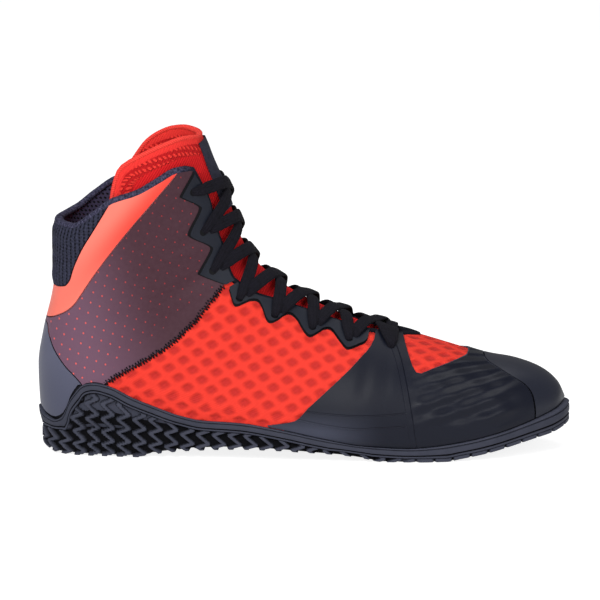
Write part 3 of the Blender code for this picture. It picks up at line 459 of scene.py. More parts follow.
class Finish:
    """A Principled material with short calls that add nodes to it."""

    def __init__(self, name, colour, roughness, specular=0.2):
        self.material = bpy.data.materials.new(name)
        self.material.use_nodes = True
        self.tree = self.material.node_tree
        self.face = self.tree.nodes["Principled BSDF"]
        self.face.inputs["Base Color"].default_value = colour
        self.face.inputs["Roughness"].default_value = roughness
        self.face.inputs["Specular IOR Level"].default_value = specular

    def node(self, kind, *inputs, **settings):
        """A node with its first inputs linked or set in order."""
        made = self.tree.nodes.new(kind)
        for key, value in settings.items():
            setattr(made, key, value)
        for number, value in enumerate(inputs):
            if isinstance(value, bpy.types.NodeSocket):
                self.tree.links.new(value, made.inputs[number])
            elif value is not None:
                made.inputs[number].default_value = value
        return made

    def sum(self, operation, *terms):
        """The result of one arithmetic operation."""
        return self.node("ShaderNodeMath", *terms, operation=operation).outputs[0]

    def dot(self, u, v, u_share, v_share, start=0.0):
        """u and v times their shares, plus a start."""
        first = self.sum("MULTIPLY_ADD", u, u_share, start)
        return self.sum("MULTIPLY_ADD", v, v_share, first)

    def ramp(self, value, low, high):
        """0 at low and 1 at high, eased."""
        return self.node("ShaderNodeMapRange", value, low, high, 0.0, 1.0,
                         interpolation_type="SMOOTHSTEP").outputs[0]

    def product(self, *terms):
        """All the terms multiplied."""
        total = terms[0]
        for term in terms[1:]:
            total = self.sum("MULTIPLY", total, term)
        return total

    def wave(self, u, v, u_step, v_step):
        """A sine wave that repeats once for each of two steps in metres, one along u and one along v."""
        return self.sum("SINE", self.dot(u, v, 2 * pi / u_step, 2 * pi / v_step))

    def positive(self, wave):
        """A wave from -1 to 1, moved to run from 0 to 1."""
        return self.sum("MULTIPLY_ADD", wave, 0.5, 0.5)

    def square(self, p, q):
        """The square of a distance from its two parts."""
        return self.sum("ADD", self.sum("MULTIPLY", p, p), self.sum("MULTIPLY", q, q))

    def blend(self, share, first, second):
        """The first colour at 0 and the second at 1."""
        made = self.node("ShaderNodeMix", share, data_type="RGBA")
        for number, value in ((6, first), (7, second)):
            if isinstance(value, bpy.types.NodeSocket):
                self.tree.links.new(value, made.inputs[number])
            else:
                made.inputs[number].default_value = value
        return made.outputs[2]

    def flat(self, label):
        """The two coordinates of one of the piece's own maps, and their vector."""
        vector = self.node("ShaderNodeUVMap", uv_map=label).outputs[0]
        parts = self.node("ShaderNodeSeparateXYZ", vector)
        return parts.outputs[0], parts.outputs[1], vector

    def spot(self):
        """The place on the object, in metres."""
        return self.node("ShaderNodeTexCoord").outputs["Object"]

    def noise(self, vector, scale, detail=2.0):
        """A random pattern from 0 to 1, with this many patches to the metre."""
        return self.node("ShaderNodeTexNoise", vector, None, scale, detail).outputs[0]

    def cell(self, u, v, first, second, phase):
        """Distances from the middle of a slanted cell whose sides are two steps in mm."""
        area = first[0] * second[1] - first[1] * second[0]
        p = self.dot(u, v, 1000 * second[1] / area, -1000 * second[0] / area, phase[0])
        q = self.dot(u, v, -1000 * first[1] / area, 1000 * first[0] / area, phase[1])
        return [self.sum("ABSOLUTE", self.sum("SUBTRACT", self.sum("FRACT", value), 0.5))
                for value in (p, q)]

    def relief(self, height, depth):
        """Bumps the face by a height from 0 to 1 times a depth in metres."""
        bump = self.node("ShaderNodeBump")
        bump.inputs["Distance"].default_value = depth
        self.tree.links.new(height, bump.inputs["Height"])
        last = self.face.inputs["Normal"]
        if last.is_linked:
            self.tree.links.new(last.links[0].from_socket, bump.inputs["Normal"])
        self.tree.links.new(bump.outputs[0], last)

    def grain(self, vector, scale, depth, detail=3.0):
        """Fine random relief, as of film or yarn."""
        self.relief(self.noise(vector, scale, detail), depth)

    def colour(self, source):
        """The piece's colour."""
        self.tree.links.new(source, self.face.inputs["Base Color"])

    def gloss(self, source):
        """The piece's roughness, where it isn't the same all over."""
        self.tree.links.new(source, self.face.inputs["Roughness"])


# Steps in mm of the knit's slanted cells, and where they start
KNIT_FIRST = (-7.66, -4.12)
KNIT_SECOND = (4.93, -5.20)
KNIT_PHASE = (0.333, 0.59)
CELL_DEPTH = 0.0011
ROWS_ACROSS = 2400.0
ROWS_UP = 9200.0
# How far a spot lies behind the stitched edge, past the forefoot film's back
# edge and across the coral band: shares of its two flat measures, and a start
BEHIND_STITCHES = (-0.616, 0.788, -0.1066)
PAST_FOREFOOT_EDGE = (0.68, -0.73, 0.0186)
ACROSS_CORAL = (0.775, -0.632)
UNDER_COUNTER_X = -0.104
UNDER_TOE_X = 0.0918
LOW_FOREFOOT_Z = 0.030
# Where, across the coral band, the thin painted highlight line along its front edge lies
SEAM_HIGHLIGHT = (-0.1512, -0.1450)


def knit_cells(finish, u, v, inner, outer):
    """1 in the sunk middle of each cell of the knit and 0 on the ridges between."""
    p, q = finish.cell(u, v, KNIT_FIRST, KNIT_SECOND, KNIT_PHASE)
    return finish.sum("MULTIPLY", finish.ramp(p, outer, inner), finish.ramp(q, outer, inner))


def knit_finish():
    """Red orange diamond knit, with painted shade in its sunk cells and painted highlights on its rows; dark
    where panels cover it, as painted shade in the seams between them, with a thin painted highlight line
    along the coral band's front edge.
    """
    finish = Finish("upper", tint(240, 62, 44), 0.72, 0.25)
    u, v, vector = finish.flat("flat")
    sunk = knit_cells(finish, u, v, 0.08, 0.44)
    rows = finish.positive(finish.sum("SINE", finish.dot(u, v, ROWS_ACROSS, ROWS_UP)))
    # The sunk cell middles are painted a darker red: painted shade in the hollows of the knit
    knit = finish.blend(sunk, tint(234, 49, 35), tint(190, 26, 26))
    # The crest of each row is painted lighter: a painted highlight on the knit's rows
    knit = finish.blend(finish.product(rows, 0.18), knit, tint(255, 96, 72))
    # Where panels cover the knit it is painted nearly black, so the seams between panels show painted shade
    behind = finish.ramp(finish.dot(u, v, *BEHIND_STITCHES), 0.0, 0.0004)
    under_heel = finish.ramp(u, UNDER_COUNTER_X, UNDER_COUNTER_X - 0.001)
    under_front = finish.product(finish.ramp(finish.dot(u, v, *PAST_FOREFOOT_EDGE), -0.0004, 0.0),
                                 finish.ramp(v, LOW_FOREFOOT_Z, LOW_FOREFOOT_Z - 0.001))
    under_toe = finish.ramp(u, UNDER_TOE_X, UNDER_TOE_X + 0.0006)
    covered = finish.sum("MAXIMUM", finish.sum("MAXIMUM", behind, under_heel),
                         finish.sum("MAXIMUM", under_front, under_toe))
    # A thin pale pink line along the coral band's front edge is a painted highlight in that seam
    seam = finish.dot(u, v, *ACROSS_CORAL)
    seam = finish.product(finish.ramp(seam, SEAM_HIGHLIGHT[0], SEAM_HIGHLIGHT[0] + 0.0004),
                          finish.ramp(seam, SEAM_HIGHLIGHT[1], SEAM_HIGHLIGHT[1] - 0.0004))
    seam_shade_and_highlight = finish.blend(seam, tint(16, 17, 26), tint(226, 140, 146))
    finish.colour(finish.blend(covered, knit, seam_shade_and_highlight))
    finish.relief(sunk, -CELL_DEPTH)
    finish.relief(rows, 0.00008)
    finish.grain(vector, 900.0, 0.00012)
    return finish.material


# Steps in mm between the lining's round openings
OPENING_FIRST = (2.6, 0.0)
OPENING_SECOND = (1.3, -2.2)


def lining_finish():
    """Dark navy spacer mesh with small round openings, painted nearly black inside as painted shade."""
    finish = Finish("lining", tint(40, 40, 58), 0.9)
    u, v, vector = finish.flat("flat")
    p, q = finish.cell(u, v, OPENING_FIRST, OPENING_SECOND, (0.0, 0.0))
    pit = finish.ramp(finish.square(p, q), 0.10, 0.03)
    # The openings are painted nearly black: painted shade inside the holes
    finish.colour(finish.blend(pit, tint(62, 58, 82), tint(8, 8, 15)))
    finish.relief(pit, -0.0004)
    finish.grain(vector, 1500.0, 0.0001, 2.0)
    return finish.material


# Side view spots of the eyelets, with X as a percentage of the length and Z of
# the height, from the top pair down
EYELETS = ((29.3, 82.7), (31.2, 70.0), (33.0, 57.7), (38.0, 49.2), (44.6, 43.7), (51.6, 39.9),
           (58.4, 36.4), (66.2, 34.0))
EYELET_RADIUS = 0.0021
PUNCH_LENGTH = 0.012


def spot_at(x, z):
    """The station and t at which the upper's outer face shows a point of the side view."""
    def behind(s):
        low_x, low_z, high_x, high_z = section(s)[:4]
        return (high_x - low_x) * (z - low_z) <= (high_z - low_z) * (x - low_x)

    s = halfway(0.0, STATIONS[LAST_SECTION], behind)
    low = Vector(section(s)[:2])
    line = Vector(section(s)[2:4]) - low
    along = share_along(Vector((x, z)), low, line)

    def past(t):
        point = surface(s, t, 1)
        return share_along(Vector((point.x, point.z)), low, line) >= along

    return s, halfway(0.0, 1.0, past)


def boolean(piece, cutter, operation):
    """Applies one exact cut and removes the cutter."""
    pick([piece])
    modifier = piece.modifiers.new("cut", "BOOLEAN")
    modifier.operation = operation
    modifier.solver = "EXACT"
    modifier.object = cutter
    bpy.ops.object.modifier_apply(modifier=modifier.name)
    bpy.data.objects.remove(cutter)


def punch_eyelets(piece, eyelets):
    """Punches the round holes that the lace goes through, on both sides."""
    punches = []
    for x, z in eyelets:
        s, t = spot_at(along_length(x), up_height(z))
        for side in (-1, 1):
            middle = place(s, t, side, 0.0)
            turn = outward(s, t, side).to_track_quat("Z", "X")
            bpy.ops.mesh.primitive_cylinder_add(vertices=24, radius=EYELET_RADIUS, depth=PUNCH_LENGTH,
                                                location=middle, rotation=turn.to_euler())
            punches.append(bpy.context.object)
    boolean(piece, joined(punches), "DIFFERENCE")


grids = {side: upper_grid(side) for side in (-1, 1)}
points, faces, spots, near_count = shell(grids, lambda s, t: -WALL, lambda s, t: 0.0)
upper = mesh_object("dressed_upper", points, faces, {"flat": spots}, [knit_finish(), lining_finish()])
for number, polygon in enumerate(upper.data.polygons):
    polygon.material_index = 1 if number < near_count else 0
punch_eyelets(upper, EYELETS)
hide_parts("upper")
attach(upper, "root")

# The forefoot overlay is one thin navy film, cut flat and pressed onto the knit
# in front of the laces. A pointed window in it shows the vamp's knit, and it
# ends just above the outsole's rim and behind the toe cap.
RIM_LINE = ((0.0, 14.6), (0.6, 14.3), (2.0, 11.9), (3.8, 10.8), (5.0, 11.6), (5.9, 13.3),
            (7.3, 19.1), (9.4, 23.0), (11.1, 23.5), (13.9, 22.5), (18.3, 19.0), (22.0, 16.6),
            (26.9, 13.7), (31.3, 12.2), (38.2, 11.7), (45.9, 9.8), (53.5, 7.3), (60.9, 5.2),
            (69.6, 4.4), (74.4, 4.9), (80.8, 6.3), (87.3, 8.6), (93.8, 11.6), (97.1, 13.4),
            (99.4, 15.2), (100.5, 15.4))
FOREFOOT_BACK = ((43.3, 11.2), (48.4, 12.8), (50.8, 16.7), (53.9, 21.4), (57.0, 26.0),
                 (60.1, 30.8), (63.2, 36.4), (63.6, 44.0))
VAMP_EDGE = ((68.2, 44.0), (68.6, 37.5), (69.2, 34.0), (71.0, 27.2), (74.2, 28.1), (77.8, 29.5),
             (80.6, 30.4), (81.6, 34.0))
TOE_SEAM = ((83.6, 34.0), (84.0, 29.3), (86.7, 26.6), (89.9, 23.6), (91.7, 21.5), (92.8, 18.7),
            (93.3, 14.6), (93.3, 11.9))
CUTTER_REACH = 0.08
FRONT_SECTIONS = (0, 10)
TOE_SEAM_HALF = 0.0004
QUILT_RISING = 0.0095
QUILT_FALLING = 0.0125
QUILT_DEPTH = 0.0010
# Two flex grooves: height at the lowest spot, where that is, and the bend
FLEX_GROOVES = ((0.0255, 0.030, 2.1), (0.0192, 0.036, 2.6))
# Two pressed lines at the strap's front edge: shares of the two flat measures,
# and a start
STRAP_EDGE = (1.0, 0.16, -0.0615)
STRAP_GROOVE = (1.0, 0.16, -0.0585)
rim_height = side_line(RIM_LINE)


def percent_line(line):
    """Side view points in metres from percentages of length and height."""
    return [(along_length(x), up_height(z)) for x, z in line]


def rounded(line, steps=4):
    """A smoother line through the same points."""
    made = []
    for i in range(len(line) - 1):
        before = Vector(line[max(i - 1, 0)])
        start = Vector(line[i])
        end = Vector(line[i + 1])
        after = Vector(line[min(i + 2, len(line) - 1)])
        for k in range(steps):
            u = k / steps
            made.append(tuple(0.5 * (2 * start + (end - before) * u
                                     + (2 * before - 5 * start + 4 * end - after) * u * u
                                     + (3 * start - before - 3 * end + after) * u ** 3)))
    made.append(tuple(line[-1]))
    return made


def moved(line, x, z):
    """A side view line shifted as a whole."""
    return [(px + x, pz + z) for px, pz in line]


def rim_edge(first, last, count):
    """The line just above the outsole's rim, between two percentages of the length."""
    edge = []
    for i in range(count + 1):
        x = along_length(first + (last - first) * i / count)
        edge.append((x, rim_height(x) + 1.5 * GAP))
    return edge


def prism(outline, low_y, high_y):
    """A cutter: a side view outline drawn out across the shoe."""
    count = len(outline)
    outline = moved(outline, CENTRING.x, CENTRING.z)
    sides = [[i, i + count, (i + 1) % count + count, (i + 1) % count] for i in range(count)]
    corners = [(x, low_y, z) for x, z in outline] + [(x, high_y, z) for x, z in outline]
    ends = [list(range(count)), list(range(2 * count - 1, count - 1, -1))]
    return mesh_object("cutter", corners, ends + sides, {}, [], 0)


def near_columns(first, last):
    """The columns of both grids between two sections."""
    low = STATIONS[first] - 1e-6
    high = STATIONS[last] + 1e-6
    return {side: [column for column in columns
                   if low <= column[-1][0] <= high or low <= column[0][0] <= high]
            for side, columns in grids.items()}


def panel(name, columns, outline, sides, near, far, material):
    """A panel cut from between two offsets of the upper by a side view outline."""
    far_at = far if callable(far) else lambda s, t: far
    points, faces, spots, _ = shell({side: columns[side] for side in sides}, lambda s, t: near, far_at)
    piece = mesh_object(name, points, faces, {"flat": spots}, [material], 0)
    lateral_y = -CUTTER_REACH if -1 in sides else 0.0
    medial_y = CUTTER_REACH if 1 in sides else 0.0
    boolean(piece, prism(outline, lateral_y, medial_y), "INTERSECT")
    bpy.ops.object.shade_smooth_by_angle(angle=radians(35))
    return piece


def seat(piece, node):
    """Puts a finished piece in the place of its CAD node."""
    piece.name = "dressed_" + node
    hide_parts(node)
    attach(piece, "root")


def forefoot_finish():
    """Navy film with a fine grain, the knit's diamonds showing through in front."""
    finish = Finish("forefoot_overlay", tint(24, 27, 40), 0.46, 0.25)
    u, v, vector = finish.flat("flat")
    rising = finish.dot(u, v, 2 * pi / QUILT_RISING * -0.3, 2 * pi / QUILT_RISING * 0.95, 0.6)
    falling = finish.dot(u, v, 2 * pi / QUILT_FALLING * 0.66, 2 * pi / QUILT_FALLING * 0.75)
    quilt = finish.sum("MULTIPLY_ADD", finish.sum("SINE", rising), 0.72,
                       finish.product(finish.sum("SINE", falling), 0.28))
    front = finish.product(finish.ramp(u, 0.054, 0.064), finish.ramp(u, 0.120, 0.100),
                           finish.ramp(v, 0.016, 0.026))
    finish.relief(finish.product(quilt, front), QUILT_DEPTH)
    finish.grain(vector, 1400.0, 0.00005)
    for lowest, middle, bend in FLEX_GROOVES:
        across = finish.sum("SUBTRACT", u, middle)
        line = finish.sum("MULTIPLY_ADD", finish.product(across, across), bend, lowest)
        off = finish.sum("ABSOLUTE", finish.sum("SUBTRACT", v, line))
        groove = finish.product(finish.ramp(off, 0.0005, 0.0002), finish.ramp(u, 0.055, 0.053))
        finish.relief(groove, -0.0004)
    finish.relief(finish.ramp(finish.dot(u, v, *STRAP_EDGE), -0.0004, 0.0004), -0.0005)
    finish.relief(finish.ramp(finish.dot(u, v, *STRAP_GROOVE), -0.0004, 0.0002), -0.0002)
    low = finish.product(finish.ramp(v, 0.030, 0.014), finish.ramp(u, 0.045, 0.005), 0.6)
    film = finish.blend(finish.noise(vector, 35.0), tint(11, 14, 28), tint(18, 22, 37))
    finish.colour(finish.blend(low, film, tint(78, 82, 100)))
    finish.gloss(finish.sum("MULTIPLY_ADD", finish.ramp(u, 0.05, 0.08), -0.08, 0.5))
    return finish.material


forefoot_back = rounded(percent_line(FOREFOOT_BACK))
toe_seam = rounded(percent_line(TOE_SEAM), 3)
vamp_edge = rounded(percent_line(VAMP_EDGE[1:-1]), 3)
front_columns = near_columns(*FRONT_SECTIONS)
outline = forefoot_back + vamp_edge + moved(toe_seam, -TOE_SEAM_HALF, 0) + rim_edge(93.2, 43.4, 40)
forefoot = panel("forefoot", front_columns, outline, (-1, 1), GAP, GAP + PANEL, forefoot_finish())
punch_eyelets(forefoot, EYELETS[-1:])
seat(forefoot, "forefoot_overlay")

# The toe cap is smooth navy rubber film, moulded over the toe. It meets the
# forefoot film along one curved seam, and the outsole's rim below.
TOE_SECTIONS = (0, 5)


def toe_finish():
    """Smooth navy rubber film, a little glossier than the forefoot."""
    finish = Finish("toe_cap", tint(28, 31, 44), 0.4, 0.35)
    vector = finish.flat("flat")[2]
    finish.grain(vector, 1400.0, 0.00004)
    finish.colour(finish.blend(finish.noise(vector, 40.0), tint(26, 29, 42), tint(35, 38, 52)))
    return finish.material


outline = moved(toe_seam, TOE_SEAM_HALF, 0) + rim_edge(93.6, 100.4, 12) + [(along_length(104), up_height(34))]
toe = panel("toe", near_columns(*TOE_SECTIONS), outline, (-1, 1), GAP, GAP + PANEL, toe_finish())
seat(toe, "toe_cap")

# The heel counter is slate film, moulded smooth round the stiff cup at the back
# of the heel. Its lower edge follows the outsole's rim.
COUNTER_EDGE = ((-3.0, 41.0), (1.6, 40.8), (2.4, 37.2), (3.4, 33.0), (5.3, 28.5), (7.3, 25.3),
                (8.6, 23.0))
SEAM_HALF = 0.00022
ABOVE_RIM = (-0.0013, 0.0012)
BACK_SECTIONS = (9, LAST_SECTION)


def counter_finish():
    """Slate film, a little darker towards the sole."""
    finish = Finish("heel_counter", tint(82, 86, 105), 0.38, 0.5)
    u, v, vector = finish.flat("flat")
    finish.grain(vector, 1100.0, 0.00003)
    finish.colour(finish.blend(finish.ramp(v, 0.02, 0.07), tint(68, 71, 92), tint(88, 90, 112)))
    return finish.material


back_columns = near_columns(*BACK_SECTIONS)
counter_edge = rounded(percent_line(COUNTER_EDGE))
outline = moved(counter_edge, -SEAM_HALF, -SEAM_HALF) + moved(rim_edge(8.4, -3.0, 16), *ABOVE_RIM)
counter = panel("counter", back_columns, outline, (-1, 1), GAP, GAP + PANEL, counter_finish())
seat(counter, "heel_counter")

# The coral band is one strip of film that runs round the back of the ankle,
# between the heel pad and the ankle panels, and up to the collar on both sides.
CORAL_EDGE = ((-3.0, 41.8), (1.6, 41.9), (4.7, 44.0), (6.4, 45.9), (7.8, 48.5), (10.8, 56.2),
              (14.2, 64.0), (18.0, 72.0), (22.2, 80.1), (27.0, 89.4), (28.2, 92.0))
PAD_EDGE = ((-3.0, 51.2), (4.2, 52.3), (6.2, 54.1), (7.3, 59.3), (8.9, 65.2), (10.9, 70.8),
            (14.1, 79.8), (15.0, 83.0))


def coral_finish():
    """Coral film, smooth with a soft shine, paler low down and towards the back as a painted highlight, and
    redder towards the top of its front edge.
    """
    finish = Finish("coral_band", tint(252, 92, 68), 0.4, 0.5)
    u, v, vector = finish.flat("flat")
    finish.grain(vector, 1200.0, 0.00003)
    across = finish.ramp(finish.dot(u, v, *ACROSS_CORAL), -0.162, -0.149)
    deep = finish.product(across, finish.ramp(v, 0.075, 0.13))
    # Away from the top of its front edge the coral is painted paler: a painted highlight
    finish.colour(finish.blend(deep, tint(255, 122, 104), tint(243, 60, 42)))
    return finish.material


coral_edge = rounded(percent_line(CORAL_EDGE))
pad_edge = rounded(percent_line(PAD_EDGE))
outline = moved(coral_edge, -SEAM_HALF, SEAM_HALF) + moved(pad_edge, SEAM_HALF, -SEAM_HALF)[::-1]
coral = panel("coral", back_columns, outline, (-1, 1), GAP, GAP + PANEL, coral_finish())
seat(coral, "coral_band")

# The ankle panels are one film on each side, printed from purple grey to maroon
# with rows of small coral dots. They reach from the heel counter and the coral
# band to the eyestays, and are stitched down along their front edge.
STITCHED_EDGE = ((12.9, 23.0), (15.3, 25.8), (18.5, 28.7), (21.3, 31.5), (24.5, 34.7),
                 (27.3, 38.6), (29.8, 42.6), (32.1, 47.3), (34.4, 51.9), (35.4, 53.6))
UPPER_EYESTAY = ((35.6, 53.6), (31.3, 56.5), (31.1, 57.9), (33.1, 63.9), (32.6, 65.8),
                 (29.5, 68.5), (29.2, 70.5), (31.0, 76.5), (30.7, 78.4), (27.9, 81.0),
                 (27.8, 82.2), (29.9, 88.4), (30.3, 91.0))
# Steps in mm between the ankle film's dots, and where they start
DOT_FIRST = (4.8, -1.65)
DOT_SECOND = (-1.35, -5.55)
DOT_PHASE = (0.06, -0.09)
# Where the rows of dots end, before the stitched edge
DOTS_STOP = (-0.0062, -0.0050)


def ankle_finish():
    """Film that goes from purple grey at the heel to maroon in front, with coral dots."""
    finish = Finish("ankle_panel", tint(84, 62, 74), 0.48, 0.3)
    u, v, vector = finish.flat("flat")
    fade = finish.ramp(finish.dot(u, v, 1.0, 0.35), -0.102, -0.045)
    film = finish.blend(fade, tint(108, 76, 97), tint(58, 26, 38))
    film = finish.blend(finish.product(finish.noise(vector, 420.0, 3.0), 0.16), film, tint(122, 88, 100))
    p, q = finish.cell(u, v, DOT_FIRST, DOT_SECOND, DOT_PHASE)
    away = finish.sum("SQRT", finish.square(p, q))
    size = finish.sum("MULTIPLY_ADD", fade, -0.02, 0.12)
    clear_of_stitches = finish.ramp(finish.dot(u, v, *BEHIND_STITCHES), *DOTS_STOP)
    dot = finish.product(finish.ramp(away, size, finish.product(size, 0.55)), clear_of_stitches)
    bright = finish.blend(fade, tint(232, 96, 92), tint(150, 46, 52))
    finish.colour(finish.blend(dot, film, bright))
    finish.relief(dot, -0.0002)
    finish.grain(vector, 1300.0, 0.00004)
    return finish.material


ankle_material = ankle_finish()
stitched_edge = rounded(percent_line(STITCHED_EDGE))
upper_stay = percent_line(UPPER_EYESTAY)
for side, label in ((-1, "lateral"), (1, "medial")):
    outline = (moved(coral_edge, SEAM_HALF, -SEAM_HALF) + moved(rounded(upper_stay), -SEAM_HALF, 0)[::-1]
               + moved(stitched_edge, -SEAM_HALF, SEAM_HALF)[::-1] + rim_edge(12.7, 8.8, 6)
               + moved(counter_edge, SEAM_HALF, SEAM_HALF)[::-1])
    ankle = panel("ankle", back_columns, outline, (side,), GAP, GAP + PANEL, ankle_material)
    seat(ankle, "ankle_panel_" + label)

# Each eyestay is a thicker film with a wavy back edge, bonded over a thin black
# underlay that shows as a dark line round it. An upper and a lower one on each
# side carry the punched eyelets beside the throat.
LOWER_EYESTAY = ((36.2, 52.8), (37.0, 48.5), (37.7, 47.7), (39.0, 48.4), (40.2, 49.1),
                 (41.6, 48.8), (42.4, 46.8), (43.3, 43.1), (44.2, 42.5), (45.3, 43.2),
                 (46.7, 44.6), (47.8, 44.6), (49.0, 42.8), (50.2, 39.7), (51.2, 38.3),
                 (52.5, 39.0), (53.9, 40.2), (55.3, 39.9), (56.8, 37.0), (57.9, 35.0),
                 (58.5, 34.7), (60.2, 35.5), (62.0, 37.0), (62.6, 42.0))
EYESTAY = 0.0012
UNDERLAY = 0.0015
UNDERLAY_THICKNESS = 0.0002
LOWER_EYESTAY_SECTIONS = (5, LAST_SECTION)


def eyestay_finish():
    """Navy film with a fine grain."""
    finish = Finish("eyestay", tint(24, 28, 41), 0.5, 0.28)
    vector = finish.flat("flat")[2]
    finish.grain(vector, 1300.0, 0.00005)
    finish.colour(finish.blend(finish.noise(vector, 60.0), tint(15, 19, 31), tint(24, 29, 42)))
    return finish.material


def underlay_finish():
    """Matt black film."""
    finish = Finish("eyestay_underlay", tint(6, 6, 11), 0.7)
    finish.grain(finish.spot(), 1300.0, 0.00005, 2.0)
    return finish.material


stay_material = eyestay_finish()
underlay_material = underlay_finish()
middle_columns = near_columns(*LOWER_EYESTAY_SECTIONS)
# Each eyestay's edge and front, the columns it is cut from, which way its
# underlay sticks out and how high that lies, and its eyelets
stays = (
    ("upper_eyestay_", rounded(upper_stay), percent_line(((39, 91), (39, 56.2))),
     back_columns, (-1.0, 0.1), GAP + PANEL + 0.00003, EYELETS[:3]),
    ("lower_eyestay_", rounded(percent_line(LOWER_EYESTAY)),
     percent_line(((60, 53), (45, 62), (40.0, 60), (39.3, 55.6))),
     middle_columns, (-0.2, -1.0), GAP / 3, EYELETS[3:7]),
)
for side, label in ((-1, "lateral"), (1, "medial")):
    for node, edge, front, columns, away, low, eyelets in stays:
        stay = panel("stay", columns, edge + front, (side,), GAP, GAP + EYESTAY, stay_material)
        wider = moved(edge, away[0] * UNDERLAY, away[1] * UNDERLAY)
        under = panel("under", columns, wider + front, (side,), low, low + UNDERLAY_THICKNESS,
                      underlay_material)
        punch_eyelets(stay, eyelets)
        seat(joined([stay, under]), node + label)

# The heel pad is soft foam behind the Achilles tendon. Its dark knit is quilted
# in upright ribs, with a row of small holes down each groove.
PAD = 0.0027
PAD_ROUND = 0.006
PAD_RIB = 0.0023
PAD_HOLE = 0.0019
PAD_GROOVE = 0.0006
PAD_LEAN = -0.07
PAD_LEAST = 0.4
PAD_PITCH = 0.0005
PAD_ROWS = 60


def away_from(line, x, z):
    """The distance from a side view point to a line of points."""
    spot = Vector((x, z))
    nearest = 1.0
    for a, b in zip(line, line[1:]):
        start = Vector(a)
        step = Vector(b) - start
        k = between(share_along(spot, start, step))
        nearest = min(nearest, (spot - start - step * k).length)
    return nearest


def pad_depth(s, t):
    """How far the pad stands out: less towards its edges and in its grooves."""
    spot = flat_spot(s, t)
    point = surface(s, t, -1)
    room = min(away_from(pad_edge, point.x, point.z), abs(collar_height[-1](point.x) - point.z))
    swell = sin(min(room / PAD_ROUND, 1.0) * pi / 2)
    groove = abs(cos(pi * (spot.x + PAD_LEAN * spot.y) / PAD_RIB)) ** 6
    return GAP + PAD * (PAD_LEAST + (1 - PAD_LEAST) * swell) - PAD_GROOVE * groove


def pad_finish():
    """Dark navy knit, with painted shade in its grooves and nearly black painted shade in the holes down
    them.
    """
    finish = Finish("heel_pad", tint(40, 42, 58), 0.95)
    u, v, vector = finish.flat("flat")
    across = finish.dot(u, v, pi / PAD_RIB, PAD_LEAN * pi / PAD_RIB)
    groove = finish.ramp(finish.sum("ABSOLUTE", finish.sum("COSINE", across)), 0.72, 0.98)
    hole_shade_and_dent = finish.ramp(finish.sum("SINE", finish.product(v, 2 * pi / PAD_HOLE)), -0.5, 0.5)
    hole_shade_and_dent = finish.product(groove, finish.sum("MULTIPLY_ADD", hole_shade_and_dent, 0.6, 0.4))
    melange = finish.noise(vector, 900.0, 3.0)
    knit = finish.blend(finish.ramp(melange, 0.35, 0.7), tint(40, 42, 57), tint(58, 59, 79))
    # The grooves and the holes down them are painted dark: painted shade
    finish.colour(finish.blend(hole_shade_and_dent, knit, tint(10, 11, 22)))
    finish.relief(hole_shade_and_dent, -0.0003)
    finish.relief(melange, 0.00015)
    return finish.material


def fine_columns(first, last, pitch, rows):
    """A finer grid of each side of the shaft, up to the collar line."""
    start = STATIONS[first]
    fine = {}
    for side in (-1, 1):
        tops = collar_stations(side, rows)
        count = round((STATIONS[last] - start) / pitch)
        fine[side] = []
        for i in range(count + 1):
            row = [start + (top - start) * i / count for top in tops]
            fine[side].append([(s, throat_share(s) * j / rows) for j, s in enumerate(row)])
    return fine


pad_columns = fine_columns(SHAFT_SECTION, LAST_SECTION, PAD_PITCH, PAD_ROWS)
outline = moved(pad_edge, -SEAM_HALF, SEAM_HALF) + [(along_length(-3), up_height(83))]
pad = panel("pad", pad_columns, outline, (-1, 1), GAP, pad_depth, pad_finish())
seat(pad, "heel_pad")

# The collar and the throat are finished with one rolled knit binding, folded
# and sewn over the raw edge of the upper. It is darker along the throat.
BINDING_WIDTH = 0.0034
BINDING_THICKNESS = 0.0050
BINDING_INWARD = -0.0002
COLLAR_SPOTS = 60
THROAT_SPOTS = 110


def sweep(name, path, profile, material, closed=False):
    """A piece drawn along rings: each ring gives a centre, two directions and two half sizes."""
    points, faces, spots = [], [], []
    travelled = 0.0
    count = len(profile)
    for i, (centre, across, up, half_width, half_height) in enumerate(path):
        if i:
            travelled += (centre - path[i - 1][0]).length
        for k, (a, b) in enumerate(profile):
            points.append(centre + across * a * half_width + up * b * half_height)
            spots.append((travelled, k / count * 2 * (half_width + half_height)))
    rings = len(path)
    for i in range(rings if closed else rings - 1):
        for k in range(count):
            a, b = i * count + k, i * count + (k + 1) % count
            c, d = (i + 1) % rings * count + k, (i + 1) % rings * count + (k + 1) % count
            faces.append([a, c, d, b])
    if not closed:
        faces += [list(range(count)), list(range(rings * count - 1, (rings - 1) * count - 1, -1))]
    return mesh_object(name, points, faces, {"flat": spots}, [material], 60)


def oval(count, power=2.0):
    """A round or squarer ring of unit size."""
    def squared(value):
        return abs(value) ** (2 / power) * (1 if value > 0 else -1)

    turns = [2 * pi * i / count for i in range(count)]
    return [(squared(cos(turn)), squared(sin(turn))) for turn in turns]


def edge_spots(side):
    """The edge of the collar and throat on one side, as (s, t), from the back down to the vamp."""
    tops = collar_stations(side, COLLAR_SPOTS)
    spots = [(s, j / COLLAR_SPOTS * throat_share(s)) for j, s in enumerate(tops)]
    last = spots[-1][0]
    first = STATIONS[THROAT_SECTION]
    for i in range(1, THROAT_SPOTS + 1):
        s = last + (first - last) * i / THROAT_SPOTS
        spots.append((s, throat_share(s)))
    return spots


